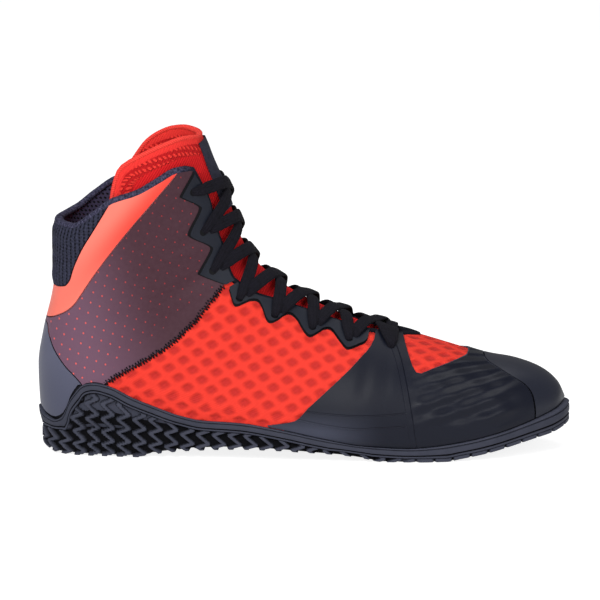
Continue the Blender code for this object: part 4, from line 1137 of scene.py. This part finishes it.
def band_path(spots, side, lift, inward, width, thickness, reach):
    """Rings of a band along spots of the face, moved in across it, and turned over a reach of spots."""
    centres = [place(s, t, side, lift(s, t)) for s, t in spots]
    path = []
    for i, (s, t) in enumerate(spots):
        normal = outward(s, t, side)
        ahead = centres[min(i + reach, len(centres) - 1)] - centres[max(i - reach, 0)]
        across = normal.cross(ahead).normalized() * side
        path.append((centres[i] + across * inward, across, normal, width / 2, thickness / 2))
    return path


def binding_finish():
    """Twilled knit of mixed navy and grey yarn, nearly black beside the throat."""
    finish = Finish("binding", tint(42, 44, 62), 0.95)
    u, v, vector = finish.flat("flat")
    finish.relief(finish.wave(u, v, 0.0011, 0.0016), 0.00012)
    melange = finish.noise(vector, 900.0, 3.0)
    finish.relief(melange, 0.00012)
    knit = finish.blend(finish.ramp(melange, 0.3, 0.75), tint(30, 31, 50), tint(84, 82, 108))
    along = finish.node("ShaderNodeSeparateXYZ", finish.spot()).outputs[0]
    finish.colour(finish.blend(finish.ramp(along, -0.070, -0.055), knit, tint(16, 17, 27)))
    return finish.material


def binding_half(side):
    """Rings of the binding on one side, from the back of the collar to the vamp."""
    return band_path(edge_spots(side), side, lambda s, t: -WALL / 2, BINDING_INWARD,
                     BINDING_WIDTH, BINDING_THICKNESS, 2)


loop = binding_half(-1) + binding_half(1)[-2:0:-1]
binding = sweep("collar_binding", loop, oval(14, 2.3), binding_finish(), closed=True)
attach(binding, "root")

# The tongue is a padded knit with a rolled lighter rim and a band of looped
# knit below it. Its wings wrap back round the ankle inside the collar.
TONGUE_RIM = ((13.2, 72.0), (14.2, 79.0), (15.0, 86.0), (16.2, 90.4), (19.2, 93.6), (23.9, 97.1),
              (28.6, 99.4), (30.2, 99.6), (31.6, 99.2), (33.0, 98.5))
MEDIAL_TONGUE_RIM = ((14.0, 70.0), (16.0, 78.0), (17.2, 86.0), (18.8, 90.4), (20.6, 94.2), (23.1, 97.0),
                     (26.1, 98.9), (29.4, 99.7), (30.6, 99.6), (31.6, 99.2), (33.0, 98.5))
TONGUE_WINGS = ((0.0, 0.83), (0.35, 0.76), (0.6, 0.68), (0.8, 0.54), (0.9, 0.45), (1.0, 0.425))
TONGUE_WALL = 0.0024
TONGUE_FIRST = 69.0
TONGUE_COLUMNS = 130
TONGUE_ROWS = 44
TONGUE_SINK = 0.0018
TONGUE_EASE = 0.03
LOOP = 0.0031
LOOPS_LOW = 0.0105
LOOPS_HIGH = 0.0032
RIM_WIDTH = 0.0026
RIM_THICKNESS = 0.0036
tongue_height = {-1: side_line(TONGUE_RIM), 1: side_line(MEDIAL_TONGUE_RIM)}
wing_share = smooth_curve([k for k, t in TONGUE_WINGS], [t for k, t in TONGUE_WINGS])


def ridge_station(share):
    """The station whose ridge is at a percentage of the length."""
    x = along_length(share)
    return halfway(0.0, STATIONS[LAST_SECTION], lambda s: section(s)[2] <= x)


def tongue_depth(s, t):
    """How deep the tongue's face lies: just in the throat, or under the upper's wall."""
    edge = throat_share(s)
    under = WALL + 4 * GAP
    if edge >= 1.0:
        return under
    ease = eased((t - edge - TONGUE_EASE) / max(1 - TONGUE_EASE - edge, TONGUE_EASE))
    return under + (TONGUE_SINK - under) * ease


def tongue_grid(side):
    """Columns of (s, t) of one side of the tongue, from its wing to the ridge."""
    start = ridge_station(TONGUE_FIRST)
    wing = wing_share(1.0)
    tops = []
    for j in range(TONGUE_ROWS + 1):
        height = tongue_height[side if j < TONGUE_ROWS else -1]
        tops.append(top_station(lambda s: wing + (1 - wing) * j / TONGUE_ROWS, height))
    columns = []
    for i in range(TONGUE_COLUMNS + 1):
        k = i / TONGUE_COLUMNS
        columns.append([(start + (top - start) * k, wing_share(k) + (1 - wing_share(k)) * j / TONGUE_ROWS)
                        for j, top in enumerate(tops)])
    return columns


def tongue_finish():
    """Red knit with fine slanting ribs, and loops in a band below the rim."""
    finish = Finish("tongue", tint(222, 34, 36), 0.85)
    u, v, vector = finish.flat("flat")
    along, down, _ = finish.flat("below")
    ribs = finish.wave(u, v, 0.0015, -0.0024)
    p, q = finish.cell(along, down, (LOOP * 1000, 0.5), (LOOP * 430, 3.9), (0.0, 0.0))
    loops = finish.ramp(finish.square(p, q), 0.17, 0.06)
    band = finish.product(finish.ramp(down, LOOPS_LOW, LOOPS_LOW - 0.001),
                          finish.ramp(down, LOOPS_HIGH, LOOPS_HIGH + 0.001))
    knit = finish.blend(finish.positive(ribs), tint(196, 18, 24), tint(222, 32, 34))
    high = finish.blend(loops, tint(182, 18, 22), tint(236, 54, 46))
    rolled = finish.blend(finish.ramp(down, LOOPS_LOW, 0.0), knit, tint(236, 54, 48))
    finish.colour(finish.blend(band, rolled, high))
    finish.relief(finish.product(loops, band), 0.0005)
    finish.relief(ribs, 0.00008)
    finish.grain(vector, 900.0, 0.00012)
    return finish.material


def rim_finish():
    """Lighter red knit with fine slanting ribs."""
    finish = Finish("tongue_rim", tint(240, 66, 58), 0.85)
    u, v, vector = finish.flat("flat")
    rib = finish.wave(u, v, 0.0012, 0.002)
    finish.relief(rib, 0.0001)
    finish.colour(finish.blend(finish.positive(rib), tint(232, 50, 46), tint(248, 78, 66)))
    finish.grain(vector, 900.0, 0.0001, 2.0)
    return finish.material


tongue_grids = {side: tongue_grid(side) for side in (-1, 1)}
points, faces, spots, _ = shell(tongue_grids, lambda s, t: -tongue_depth(s, t) - TONGUE_WALL,
                                lambda s, t: -tongue_depth(s, t))
rim_line = [flat_spot(*tongue_grids[-1][-1][j]) for j in range(TONGUE_ROWS + 1)]
rim_lengths = [0.0]
for a, b in zip(rim_line, rim_line[1:]):
    rim_lengths.append(rim_lengths[-1] + (b - a).length)


def below_rim(spot):
    """How far along the rim and how far below it a flat spot lies."""
    nearest = (1.0, 0.0)
    for j, (a, b) in enumerate(zip(rim_line, rim_line[1:])):
        step = b - a
        k = between(share_along(spot, a, step))
        nearest = min(nearest, ((spot - a - step * k).length, rim_lengths[j] + step.length * k))
    return nearest[1], nearest[0]


below = [below_rim(spot) for spot in spots]
tongue = mesh_object("tongue_body", points, faces, {"flat": spots, "below": below}, [tongue_finish()])


def rim_half(side):
    """Rings of the tongue's rolled rim on one side, from the wing to the ridge."""
    return band_path(tongue_grids[side][-1], side, lambda s, t: -tongue_depth(s, t) - TONGUE_WALL / 2, 0.0,
                     RIM_WIDTH, RIM_THICKNESS, 1)


rim = sweep("tongue_rim", rim_half(-1) + rim_half(1)[-2::-1], oval(12), rim_finish())
seat(joined([tongue, rim]), "tongue")

# The strip on the tongue is plain dark webbing, woven narrow and sewn down its
# front above the laces, from just below the rim.
STRIP_STATIONS = (0.72, 0.985)
STRIP_T = 0.885
STRIP_LIFT = 0.0005
STRIP_THICKNESS = 0.0008
STRIP_WEAVE = 0.0009
STRIP_COLUMNS = 40
STRIP_ROWS = 10


def strip_finish():
    """Navy webbing in a plain weave."""
    finish = Finish("tongue_strip", tint(44, 46, 60), 0.9, 0.25)
    u, v, vector = finish.flat("flat")
    weave = finish.product(finish.sum("SINE", finish.product(u, 2 * pi / STRIP_WEAVE)),
                           finish.sum("SINE", finish.product(v, 2 * pi / STRIP_WEAVE)))
    finish.relief(weave, 0.0001)
    finish.colour(finish.blend(finish.noise(vector, 300.0), tint(34, 36, 50), tint(56, 56, 72)))
    return finish.material


first_station = tongue_grids[-1][0][-1][0]
last_station = tongue_grids[-1][-1][-1][0]
strip_columns = []
for i in range(STRIP_COLUMNS + 1):
    share = STRIP_STATIONS[0] + (STRIP_STATIONS[1] - STRIP_STATIONS[0]) * i / STRIP_COLUMNS
    s = first_station + (last_station - first_station) * share
    strip_columns.append([(s, STRIP_T + (1 - STRIP_T) * j / STRIP_ROWS) for j in range(STRIP_ROWS + 1)])
points, faces, spots, _ = shell({-1: strip_columns, 1: strip_columns},
                                lambda s, t: STRIP_LIFT - tongue_depth(s, t),
                                lambda s, t: STRIP_LIFT + STRIP_THICKNESS - tongue_depth(s, t))
strip = mesh_object("strip", points, faces, {"flat": spots}, [strip_finish()])
seat(strip, "tongue_strip")

# The lace is one flat woven ribbon. It comes up through an eyelet, crosses the
# tongue, tucks under the other throat edge and comes up through the next one.
LACE_WIDTH = 0.0068
LACE_THICKNESS = 0.0017
LACE_DIP = 0.0030
LACE_WEAVE = 0.0012
LACE_OVER = 0.0018
# One crossing: share of the way over, lift above the upper's face and share of
# the full width, first at its start and then at its end, at the top pair of
# eyelets and at the others
LACE_START = ((0.0, -0.0026, 0.6), (0.0, -0.0006, 0.6), (0.012, 0.0014, 0.62))
LACE_END_TOP = ((0.988, 0.0014, 0.62), (1.0, -0.0006, 0.6), (1.0, -0.0030, 0.6))
LACE_END = ((0.955, 0.0004, 0.9), (0.975, -0.0024, 0.85), (1.0, -0.0030, 0.6))


def lace_finish():
    """Nearly black herringbone webbing."""
    finish = Finish("lace", tint(16, 15, 23), 0.92)
    u, v, vector = finish.flat("flat")
    twill = finish.product(finish.wave(u, v, LACE_WEAVE, LACE_WEAVE),
                           finish.wave(u, v, LACE_WEAVE, -LACE_WEAVE))
    finish.relief(twill, 0.0002)
    finish.colour(finish.blend(finish.noise(vector, 500.0), tint(8, 8, 14), tint(27, 25, 36)))
    return finish.material


def lace_strand(start, end, side, over, top):
    """Centres and normals of one crossing, from an eyelet to the far throat edge and under it."""
    start_s, start_t = start
    end_s, end_t = end
    rest = GAP + EYESTAY + LACE_THICKNESS / 2 + 0.0002
    rings = [*LACE_START, (0.05, rest, 0.8)]
    for i in range(1, 20):
        k = 0.08 + 0.84 * i / 20
        bow = sin(pi * k)
        rings.append((k, rest + 0.0002 + over * bow ** 2 - LACE_DIP * bow ** 8, 1.0))
    if top:
        rings += [(0.95, rest, 0.8), *LACE_END_TOP]
    else:
        rings += [(0.93, rest * 0.8, 0.95), *LACE_END]
    path = []
    for k, lift, width in rings:
        s = start_s + (end_s - start_s) * k
        across = (start_t - 1) + (2 - start_t - end_t) * k
        here = side if across < 0 else -side
        t = 1 - abs(across)
        path.append((place(s, t, here, lift), outward(s, t, here), width))
    return path


def ribbon(name, path, material):
    """The flat woven lace along centres with normals and shares of its width."""
    rings = []
    for i, (centre, normal, width) in enumerate(path):
        ahead = path[min(i + 1, len(path) - 1)][0] - path[max(i - 1, 0)][0]
        onward = path[min(i + 4, len(path) - 1)][0] - path[max(i - 4, 0)][0]
        across = normal.cross(onward).normalized()
        up = ahead.cross(across).normalized()
        rings.append((centre, across, up, LACE_WIDTH / 2 * width, LACE_THICKNESS / 2 / max(width, 0.6)))
    return sweep(name, rings, oval(16, 3.2), material)


lace_material = lace_finish()
eyelet_spots = [spot_at(along_length(x), up_height(z)) for x, z in EYELETS]
lace_pieces = []
for number, (high, low) in enumerate(zip(eyelet_spots, eyelet_spots[1:])):
    for side, over in ((-1, 0.0), (1, LACE_OVER)):
        path = lace_strand(low, high, side, over, number == 0)
        lace_pieces.append(ribbon("lace_strand", path, lace_material))
bottom = eyelet_spots[-1]
lace_pieces.append(ribbon("lace_strand", lace_strand(bottom, bottom, -1, 0.0, True), lace_material))
lace = joined(lace_pieces)
lace.name = "dressed_lace"
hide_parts("lace_bar", *["lace_crossing_%d" % number for number in range(1, 8)])
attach(lace, "root")

# The outsole is one moulded rubber piece: a smooth rim with two fine ridges,
# zigzag ribs on its side over recesses painted nearly black as painted shade, and small lugs at the ground.
BOTTOM_LINE = ((0.0, 2.2), (1.6, 1.4), (3.4, 0.3), (6.0, 0.0), (19.0, 0.0), (23.7, 1.5),
               (30.4, 2.6), (39.8, 3.3), (55.3, 2.4), (61.2, 1.1), (65.0, 0.0), (76.6, 0.0),
               (79.1, 0.7), (83.6, 1.9), (88.2, 3.6), (92.7, 5.3), (95.5, 6.3), (98.7, 8.2),
               (100.5, 8.6))
RIM_OVERHANG = 0.0024
TOE_BUMPER = 0.0016
RIM_CLEAR = 0.0007
FLOOR_LIFT = 0.0002
# How far above the upper's lowest line the distance to its face is measured,
# and what it is taken to be where nothing is met
ABOVE_LOWEST = 0.0006
NO_HIT_REACH = 0.02
# Roughly how far the rim is from the middle line, to read its height there
RIM_REACH = 0.034
FIRST_RIM_REACH = 0.035
HUG_HEIGHT = 0.008
SPINE = (13.0, 84.0)
SPINE_TOE_Y = 6.0
SOLE_COLUMNS = 540
RIB_ROWS = 44
RIB_PITCH = 0.0085
RIB_WAVE = 0.0061
RIB_STRETCH = 0.15
RIB_REACH = 0.0031
RIB_HALF = 0.0007
RIB_EDGE = 0.0003
RIB_TURN = 0.7
RECESS = 0.0021
LUG = 0.0098
LUG_GAP = 0.0011
LUGS_FROM = (0.045, 0.065)
# Rows of the rim: depth below its top, distance outside the upper, and tone, where a low tone is painted
# shade in the rim's grooves
RIM_PROFILE = ((0.0000, 0.0012, 1.0), (0.0001, 0.0018, 1.0), (0.0003, 0.0022, 1.0), (0.0007, 0.0023, 1.0),
               (0.0009, 0.0018, 0.5), (0.0012, 0.0018, 0.5), (0.0014, 0.0023, 0.9), (0.0022, 0.0024, 0.9),
               (0.0032, 0.0024, 0.9), (0.0036, 0.0023, 0.9), (0.0038, 0.0017, 0.0), (0.0042, 0.0017, 0.0),
               (0.0044, 0.0023, 1.0), (0.0050, 0.0023, 1.0), (0.0052, 0.0021, 0.8), (0.0054, 0.0010, 0.0))
SLOPE_STEP = 0.002
STEEPEST = 1.5
LEAST_LUG = 0.0021
# The toe bumper's extra thickness starts this share of the length past the
# middle, and is full after this further share
BUMPER_FROM = 0.40
BUMPER_RISE = 0.08
# The foot of the side tucks in over the last share of its height, and the
# recesses there are cut up from the ground
FOOT_FROM = 0.82
FOOT_TUCK = 0.0016
FOOT_NOTCH = 0.0014
TREAD_DEPTH = 0.0013
TREAD_EASE = 0.004
INNER_STEPS = (0.0, 0.28, 0.62, 1.0)
SOLE_ACROSS = 36
FLOOR_ACROSS = 6
HEEL_RAYS = 60
SIDE_RAYS = 240
TOE_RAYS = 90
bottom_height = side_line(BOTTOM_LINE)


def last_surface():
    """The upper's outer face closed underneath and at the throat, for measuring."""
    points, faces = [], []
    for side in (-1, 1):
        rows = []
        for column in grids[side]:
            (low_s, low_t), (high_s, high_t) = column[0], column[-1]
            below = [(low_s, low_t * k / 4) for k in range(4)]
            above = [(high_s, (high_t + 1) / 2), (high_s, 1.0)]
            rows.append([surface(s, t, side) for s, t in below + column + above])
        for left, right in zip(rows, rows[1:]):
            for j in range(len(left) - 1):
                start = len(points)
                points += [left[j], right[j], right[j + 1], left[j + 1]]
                faces.append((start, start + 1, start + 2, start + 3))
    return BVHTree.FromPolygons(points, faces)


def station_at(x):
    """The station whose outer line is at a given X under the foot."""
    return halfway(0.0, STATIONS[HEEL_SHUT_SECTION - 1], lambda s: section(s)[0] <= x)


def sole_rays(side):
    """Starting points and directions round one half of the shoe, from heel to toe."""
    heel_x, toe_x = (along_length(share) for share in SPINE)
    toe_y = across_ball(SPINE_TOE_Y)
    rays = []
    for i in range(HEEL_RAYS):
        angle = pi - i / HEEL_RAYS * pi / 2
        rays.append((Vector((heel_x, 0, 0)), Vector((cos(angle), side * sin(angle), 0))))
    for i in range(SIDE_RAYS):
        k = i / SIDE_RAYS
        rays.append((Vector((heel_x + (toe_x - heel_x) * k, toe_y * k, 0)), Vector((0, side, 0))))
    for i in range(TOE_RAYS + 1):
        angle = pi / 2 - i / TOE_RAYS * pi / 2
        rays.append((Vector((toe_x, toe_y, 0)), Vector((cos(angle), side * sin(angle), 0))))
    return rays


sole_tree = last_surface()


def hit_reach(ray, z):
    """How far the upper's outer face is from the ray's start at one height."""
    start, direction = ray
    inside = max(z, section(station_at(start.x))[1] + ABOVE_LOWEST)
    origin = Vector((start.x, start.y, inside))
    hit = sole_tree.ray_cast(origin, direction)[0]
    return (hit - origin).length if hit else NO_HIT_REACH


def even_rays(rays, count):
    """Rays picked so that they meet the rim at even distances, with that distance."""
    hits = []
    for ray in rays:
        reach = hit_reach(ray, rim_height(ray[0].x + ray[1].x * FIRST_RIM_REACH))
        hits.append(ray[0] + ray[1] * reach)
    lengths = [0.0]
    for a, b in zip(hits, hits[1:]):
        lengths.append(lengths[-1] + hypot(a.x - b.x, a.y - b.y))
    chosen = []
    j = 0
    for i in range(count + 1):
        target = lengths[-1] * i / count
        while j < len(lengths) - 2 and lengths[j + 1] < target:
            j += 1
        k = (target - lengths[j]) / (lengths[j + 1] - lengths[j])
        chosen.append((rays[j][0].lerp(rays[j + 1][0], k), rays[j][1].lerp(rays[j + 1][1], k).normalized()))
    return chosen, lengths[-1]


def lug_share(u):
    """1 on a lug of the forefoot's edge, 0 in the gap between two."""
    away = abs(u / LUG - round(u / LUG)) * LUG
    return between(away * 2 / LUG_GAP - 0.5)


def zigzag_share(u, v):
    """1 on a zigzag rib, 0 in the recess between, from distances along and up the side."""
    nearest = 1.0
    v = v / (1 + v / RIB_STRETCH)
    first = int(v // RIB_WAVE)
    for wave in (first - 1, first, first + 1):
        base = wave * RIB_WAVE
        turn = base + (1 - RIB_TURN) * RIB_WAVE
        for low, high, lean in ((base, turn, 1), (turn, base + RIB_WAVE, -1)):
            rib = round(u / RIB_PITCH)
            for n in (rib - 1, rib, rib + 1):
                middle = n * RIB_PITCH
                ax, ay = middle - lean * RIB_REACH, low
                bx, by = middle + lean * RIB_REACH, high
                dx, dy = bx - ax, by - ay
                k = between(((u - ax) * dx + (v - ay) * dy) / (dx * dx + dy * dy))
                nearest = min(nearest, hypot(u - ax - k * dx, v - ay - k * dy))
    return eased((RIB_HALF + RIB_EDGE - nearest) / RIB_EDGE)


def sole_finish():
    """Slate rubber, duller in the recesses, and painted nearly black there as painted shade."""
    finish = Finish("outsole", tint(50, 53, 66), 0.6, 0.18)
    tone = finish.node("ShaderNodeAttribute", attribute_name="rib", attribute_type="GEOMETRY").outputs["Fac"]
    rubber = finish.blend(finish.noise(finish.spot(), 160.0), tint(54, 57, 70), tint(68, 70, 84))
    # Recesses, grooves and gaps between lugs are painted nearly black: painted shade
    finish.colour(finish.blend(tone, tint(2, 2, 6), rubber))
    finish.grain(finish.spot(), 1500.0, 0.00005)
    finish.gloss(finish.sum("MULTIPLY_ADD", tone, -0.3, 0.9))
    return finish.material


lateral_rays, half_round = even_rays(sole_rays(-1), SOLE_COLUMNS)
medial_rays, _ = even_rays(sole_rays(1), SOLE_COLUMNS)
rays = lateral_rays + medial_rays[-2:0:-1]
count = len(rays)
rings = []
tones = []
for number, ray in enumerate(rays):
    travelled = half_round * (number if number <= SOLE_COLUMNS else count - number) / SOLE_COLUMNS
    reach = hit_reach(ray, rim_height(ray[0].x + ray[1].x * RIM_REACH))
    x = ray[0].x + ray[1].x * reach
    rim_z = rim_height(x)
    floor_z = section(station_at(x))[1] + FLOOR_LIFT
    ground = bottom_height(x)
    hug = min(rim_z, floor_z + HUG_HEIGHT)
    extra = TOE_BUMPER * eased((x / LENGTH - BUMPER_FROM) / BUMPER_RISE)
    slope = (rim_height(x + SLOPE_STEP) - rim_height(x - SLOPE_STEP)) / (2 * SLOPE_STEP)
    lean = min(hypot(1.0, slope), STEEPEST)
    lugs = between((x - LUGS_FROM[0]) / (LUGS_FROM[1] - LUGS_FROM[0]))
    room = (rim_z - ground - LEAST_LUG) / RIM_PROFILE[-1][0]
    shrink = min(lean, room)
    shrink += (room - shrink) * lugs
    column = []
    for step in INNER_STEPS:
        z = floor_z + (rim_z - floor_z) * step
        column.append((z, hit_reach(ray, max(z, floor_z + 2 * ABOVE_LOWEST)) + RIM_CLEAR * 0.7, 1.0))
    for drop, out, tone in RIM_PROFILE:
        z = rim_z - drop * shrink
        column.append((z, hit_reach(ray, max(z, hug)) + out + extra, tone))
    start = rim_z - RIM_PROFILE[-1][0] * shrink
    for i in range(1, RIB_ROWS + 1):
        k = i / RIB_ROWS
        z = start + (ground - start) * k
        rib = zigzag_share(travelled, z)
        rib += (lug_share(travelled) - rib) * lugs
        foot = max((k - FOOT_FROM) / (1 - FOOT_FROM), 0.0)
        out = RIM_OVERHANG - 0.0001 - RECESS * (1 - rib) - FOOT_TUCK * foot * foot
        notch = (1 - rib) * FOOT_NOTCH * foot
        column.append((z + notch, hit_reach(ray, max(z, hug)) + out + extra, rib))
    rings.append([ray[0] + ray[1] * reach_out + Vector((0, 0, z)) for z, reach_out, _ in column])
    tones.append([tone for _, _, tone in column])
rows = len(rings[0])
points = [ring[r] + CENTRING for r in range(rows) for ring in rings]
point_tones = [column[r] for r in range(rows) for column in tones]
faces = []
for r in range(rows - 1):
    for i in range(count):
        j = (i + 1) % count
        faces.append([r * count + i, r * count + j, (r + 1) * count + j, (r + 1) * count + i])


def cross_floor(first, tread):
    """Fills a closed ring with rows from each lateral point to its medial one."""
    half = count // 2
    steps = SOLE_ACROSS if tread else FLOOR_ACROSS
    rows_made = []
    for i in range(1, half):
        a, b = first + i, first + count - i
        row = [a]
        for k in range(1, steps):
            share = k / steps
            point = points[a].lerp(points[b], share)
            rib = 1.0
            if tread:
                level = bottom_height(point.x - CENTRING.x)
                rib = zigzag_share(point.x + LENGTH, (point.y + BALL_WIDTH) / 2)
                side_room = min(share, 1 - share) * (points[a] - points[b]).length
                rise = between(side_room / TREAD_EASE)
                point.z = point.z + (level - point.z) * rise + TREAD_DEPTH * (1 - rib) * rise
            points.append(point)
            point_tones.append(rib)
            row.append(len(points) - 1)
        row.append(b)
        rows_made.append(row)
    made = [[first] + [a, b] for a, b in zip(rows_made[0], rows_made[0][1:])]
    for left, right in zip(rows_made, rows_made[1:]):
        made += [[left[k], right[k], right[k + 1], left[k + 1]] for k in range(steps)]
    made += [[first + half, b, a] for a, b in zip(rows_made[-1], rows_made[-1][1:])]
    return made


faces += cross_floor(0, False)
faces += [face[::-1] for face in cross_floor((rows - 1) * count, True)]
outsole = mesh_object("outsole_rubber", points, faces, {}, [sole_finish()], 0)
bpy.ops.object.shade_smooth_by_angle(angle=radians(50))
# The tone of each point, read by the rubber's finish: a low tone paints shade into the recesses and grooves
attribute = outsole.data.attributes.new("rib", "FLOAT", "POINT")
for vertex, tone in zip(outsole.data.vertices, point_tones):
    attribute.data[vertex.index].value = tone
seat(outsole, "outsole")

# The insole is a flat foam footbed with a dark knit glued over it. It lies
# loose in the shoe, so its solid keeps its shape and gets the knit's look.


def insole_finish():
    """Dark navy knit."""
    finish = Finish("insole_knit", tint(34, 36, 48), 0.92, 0.5)
    finish.grain(finish.spot(), 1200.0, 0.0002)
    finish.colour(finish.blend(finish.noise(finish.spot(), 700.0), tint(24, 26, 36), tint(48, 50, 64)))
    return finish.material


insole = frame["nodes"]["insole"]
insole.data.materials.clear()
insole.data.materials.append(insole_finish())

# A dark zigzag of sewing thread holds the ankle film's front edge down on the
# knit. Its stitches vary a little, as they do on a soft knit.
STITCH_PITCH = 0.0016
STITCH_REACH = 0.0015
THREAD = 0.00032
THREAD_SUNK = 0.0003


def thread_finish():
    """Black twisted thread."""
    finish = Finish("thread", tint(12, 12, 20), 0.9)
    finish.grain(finish.spot(), 2500.0, 0.0001, 2.0)
    return finish.material


def stitched_row(side, material):
    """One row of zigzag thread over the edge of the film."""
    line = [Vector(point) for point in rounded(percent_line(STITCHED_EDGE), 12)]
    lengths = [0.0]
    for a, b in zip(line, line[1:]):
        lengths.append(lengths[-1] + (b - a).length)
    path = []
    chance = random.Random(3)
    stitches = int(lengths[-1] / STITCH_PITCH * 2)
    j = 0
    for i in range(1, stitches):
        target = lengths[-1] * i / stitches
        while j < len(lengths) - 2 and lengths[j + 1] < target:
            j += 1
        k = (target - lengths[j]) / (lengths[j + 1] - lengths[j])
        ahead = (line[j + 1] - line[j]).normalized()
        out = Vector((-ahead.y, ahead.x)) * STITCH_REACH * (1 if i % 2 else -1) * chance.uniform(0.7, 1.3)
        spot = line[j].lerp(line[j + 1], k) + out + ahead * STITCH_PITCH * chance.uniform(-0.2, 0.2)
        s, t = spot_at(*spot)
        lift = GAP + PANEL + THREAD * 0.6 if i % 2 else THREAD_SUNK
        path.append((place(s, t, side, lift), outward(s, t, side)))
    rings = []
    for i, (centre, normal) in enumerate(path):
        step = path[min(i + 1, len(path) - 1)][0] - path[max(i - 1, 0)][0]
        rings.append((centre, step.normalized(), normal, THREAD, THREAD))
    return sweep("thread_row", rings, oval(6), material)


thread_material = thread_finish()
stitching = joined([stitched_row(side, thread_material) for side in (-1, 1)])
stitching.name = "edge_stitching"
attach(stitching, "root")

# A plain pale studio: a floor that meets the background, soft light from
# above and in front, and the camera of the photo.
WHITE = (1.0, 1.0, 1.0, 1.0)
FLOOR_SIZE = 12.0
FLOOR_GLOW = 0.4
FLOOR_GLOW_SEEN = 0.45
SKY_LIGHT = 0.22
# Name, place, size in metres and power in watts of each soft lamp
LAMPS = (
    ("key", (-0.7, -1.4, 1.1), 1.0, 25.0),
    ("front", (1.0, -1.3, 0.8), 0.9, 8.0),
    ("top", (0.2, 0.4, 1.6), 1.2, 7.0),
)
LAMPS_AIM = Vector((0, 0, 0.08))
CAMERA_DISTANCE = 3.0
CAMERA_ELEVATION = 9.5
SENSOR = 36.0
PIXELS_PER_METRE = 1867.0
PHOTO_PIXELS = 600.0
AIM = Vector((-0.0024, 0.0, 0.0802))


def stage_finish():
    """Matt white that glows a little, so that the floor meets the background."""
    finish = Finish("studio_floor", (0.5, 0.5, 0.5, 1.0), 1.0, 0.0)
    finish.face.inputs["Emission Color"].default_value = WHITE
    seen = finish.node("ShaderNodeLightPath").outputs["Is Camera Ray"]
    glow = finish.sum("MULTIPLY_ADD", seen, FLOOR_GLOW_SEEN, FLOOR_GLOW)
    finish.tree.links.new(glow, finish.face.inputs["Emission Strength"])
    return finish.material


bpy.ops.mesh.primitive_plane_add(size=FLOOR_SIZE, location=(0, 0, -0.0001))
floor = bpy.context.object
floor.name = "studio_floor"
floor.data.materials.append(stage_finish())

world = bpy.data.worlds.new("studio")
bpy.context.scene.world = world
world.use_nodes = True
tree = world.node_tree
# The background is plain white in the picture, and lights the shoe only softly
seen = tree.nodes["Background"]
seen.inputs[0].default_value = WHITE
seen.inputs[1].default_value = 1.0
felt = tree.nodes.new("ShaderNodeBackground")
felt.inputs[0].default_value = WHITE
felt.inputs[1].default_value = SKY_LIGHT
path_kind = tree.nodes.new("ShaderNodeLightPath")
either = tree.nodes.new("ShaderNodeMixShader")
tree.links.new(path_kind.outputs["Is Camera Ray"], either.inputs[0])
tree.links.new(felt.outputs[0], either.inputs[1])
tree.links.new(seen.outputs[0], either.inputs[2])
tree.links.new(either.outputs[0], tree.nodes["World Output"].inputs["Surface"])

for name, spot, size, power in LAMPS:
    lamp = bpy.data.lights.new(name, "AREA")
    lamp.size = size
    lamp.energy = power
    light = bpy.data.objects.new(name, lamp)
    bpy.context.scene.collection.objects.link(light)
    light.location = spot
    light.rotation_euler = (LAMPS_AIM - Vector(spot)).to_track_quat("-Z", "Y").to_euler()

elevation = radians(CAMERA_ELEVATION)
back = Vector((0.0, -cos(elevation), sin(elevation)))
lens = bpy.data.cameras.new("camera")
lens.sensor_width = SENSOR
lens.lens = SENSOR * CAMERA_DISTANCE * PIXELS_PER_METRE / PHOTO_PIXELS
camera = bpy.data.objects.new("camera", lens)
bpy.context.scene.collection.objects.link(camera)
camera.location = AIM + back * CAMERA_DISTANCE
camera.rotation_euler = (-back).to_track_quat("-Z", "Y").to_euler()
bpy.context.scene.camera = camera
bpy.context.scene.view_settings.view_transform = "Standard"
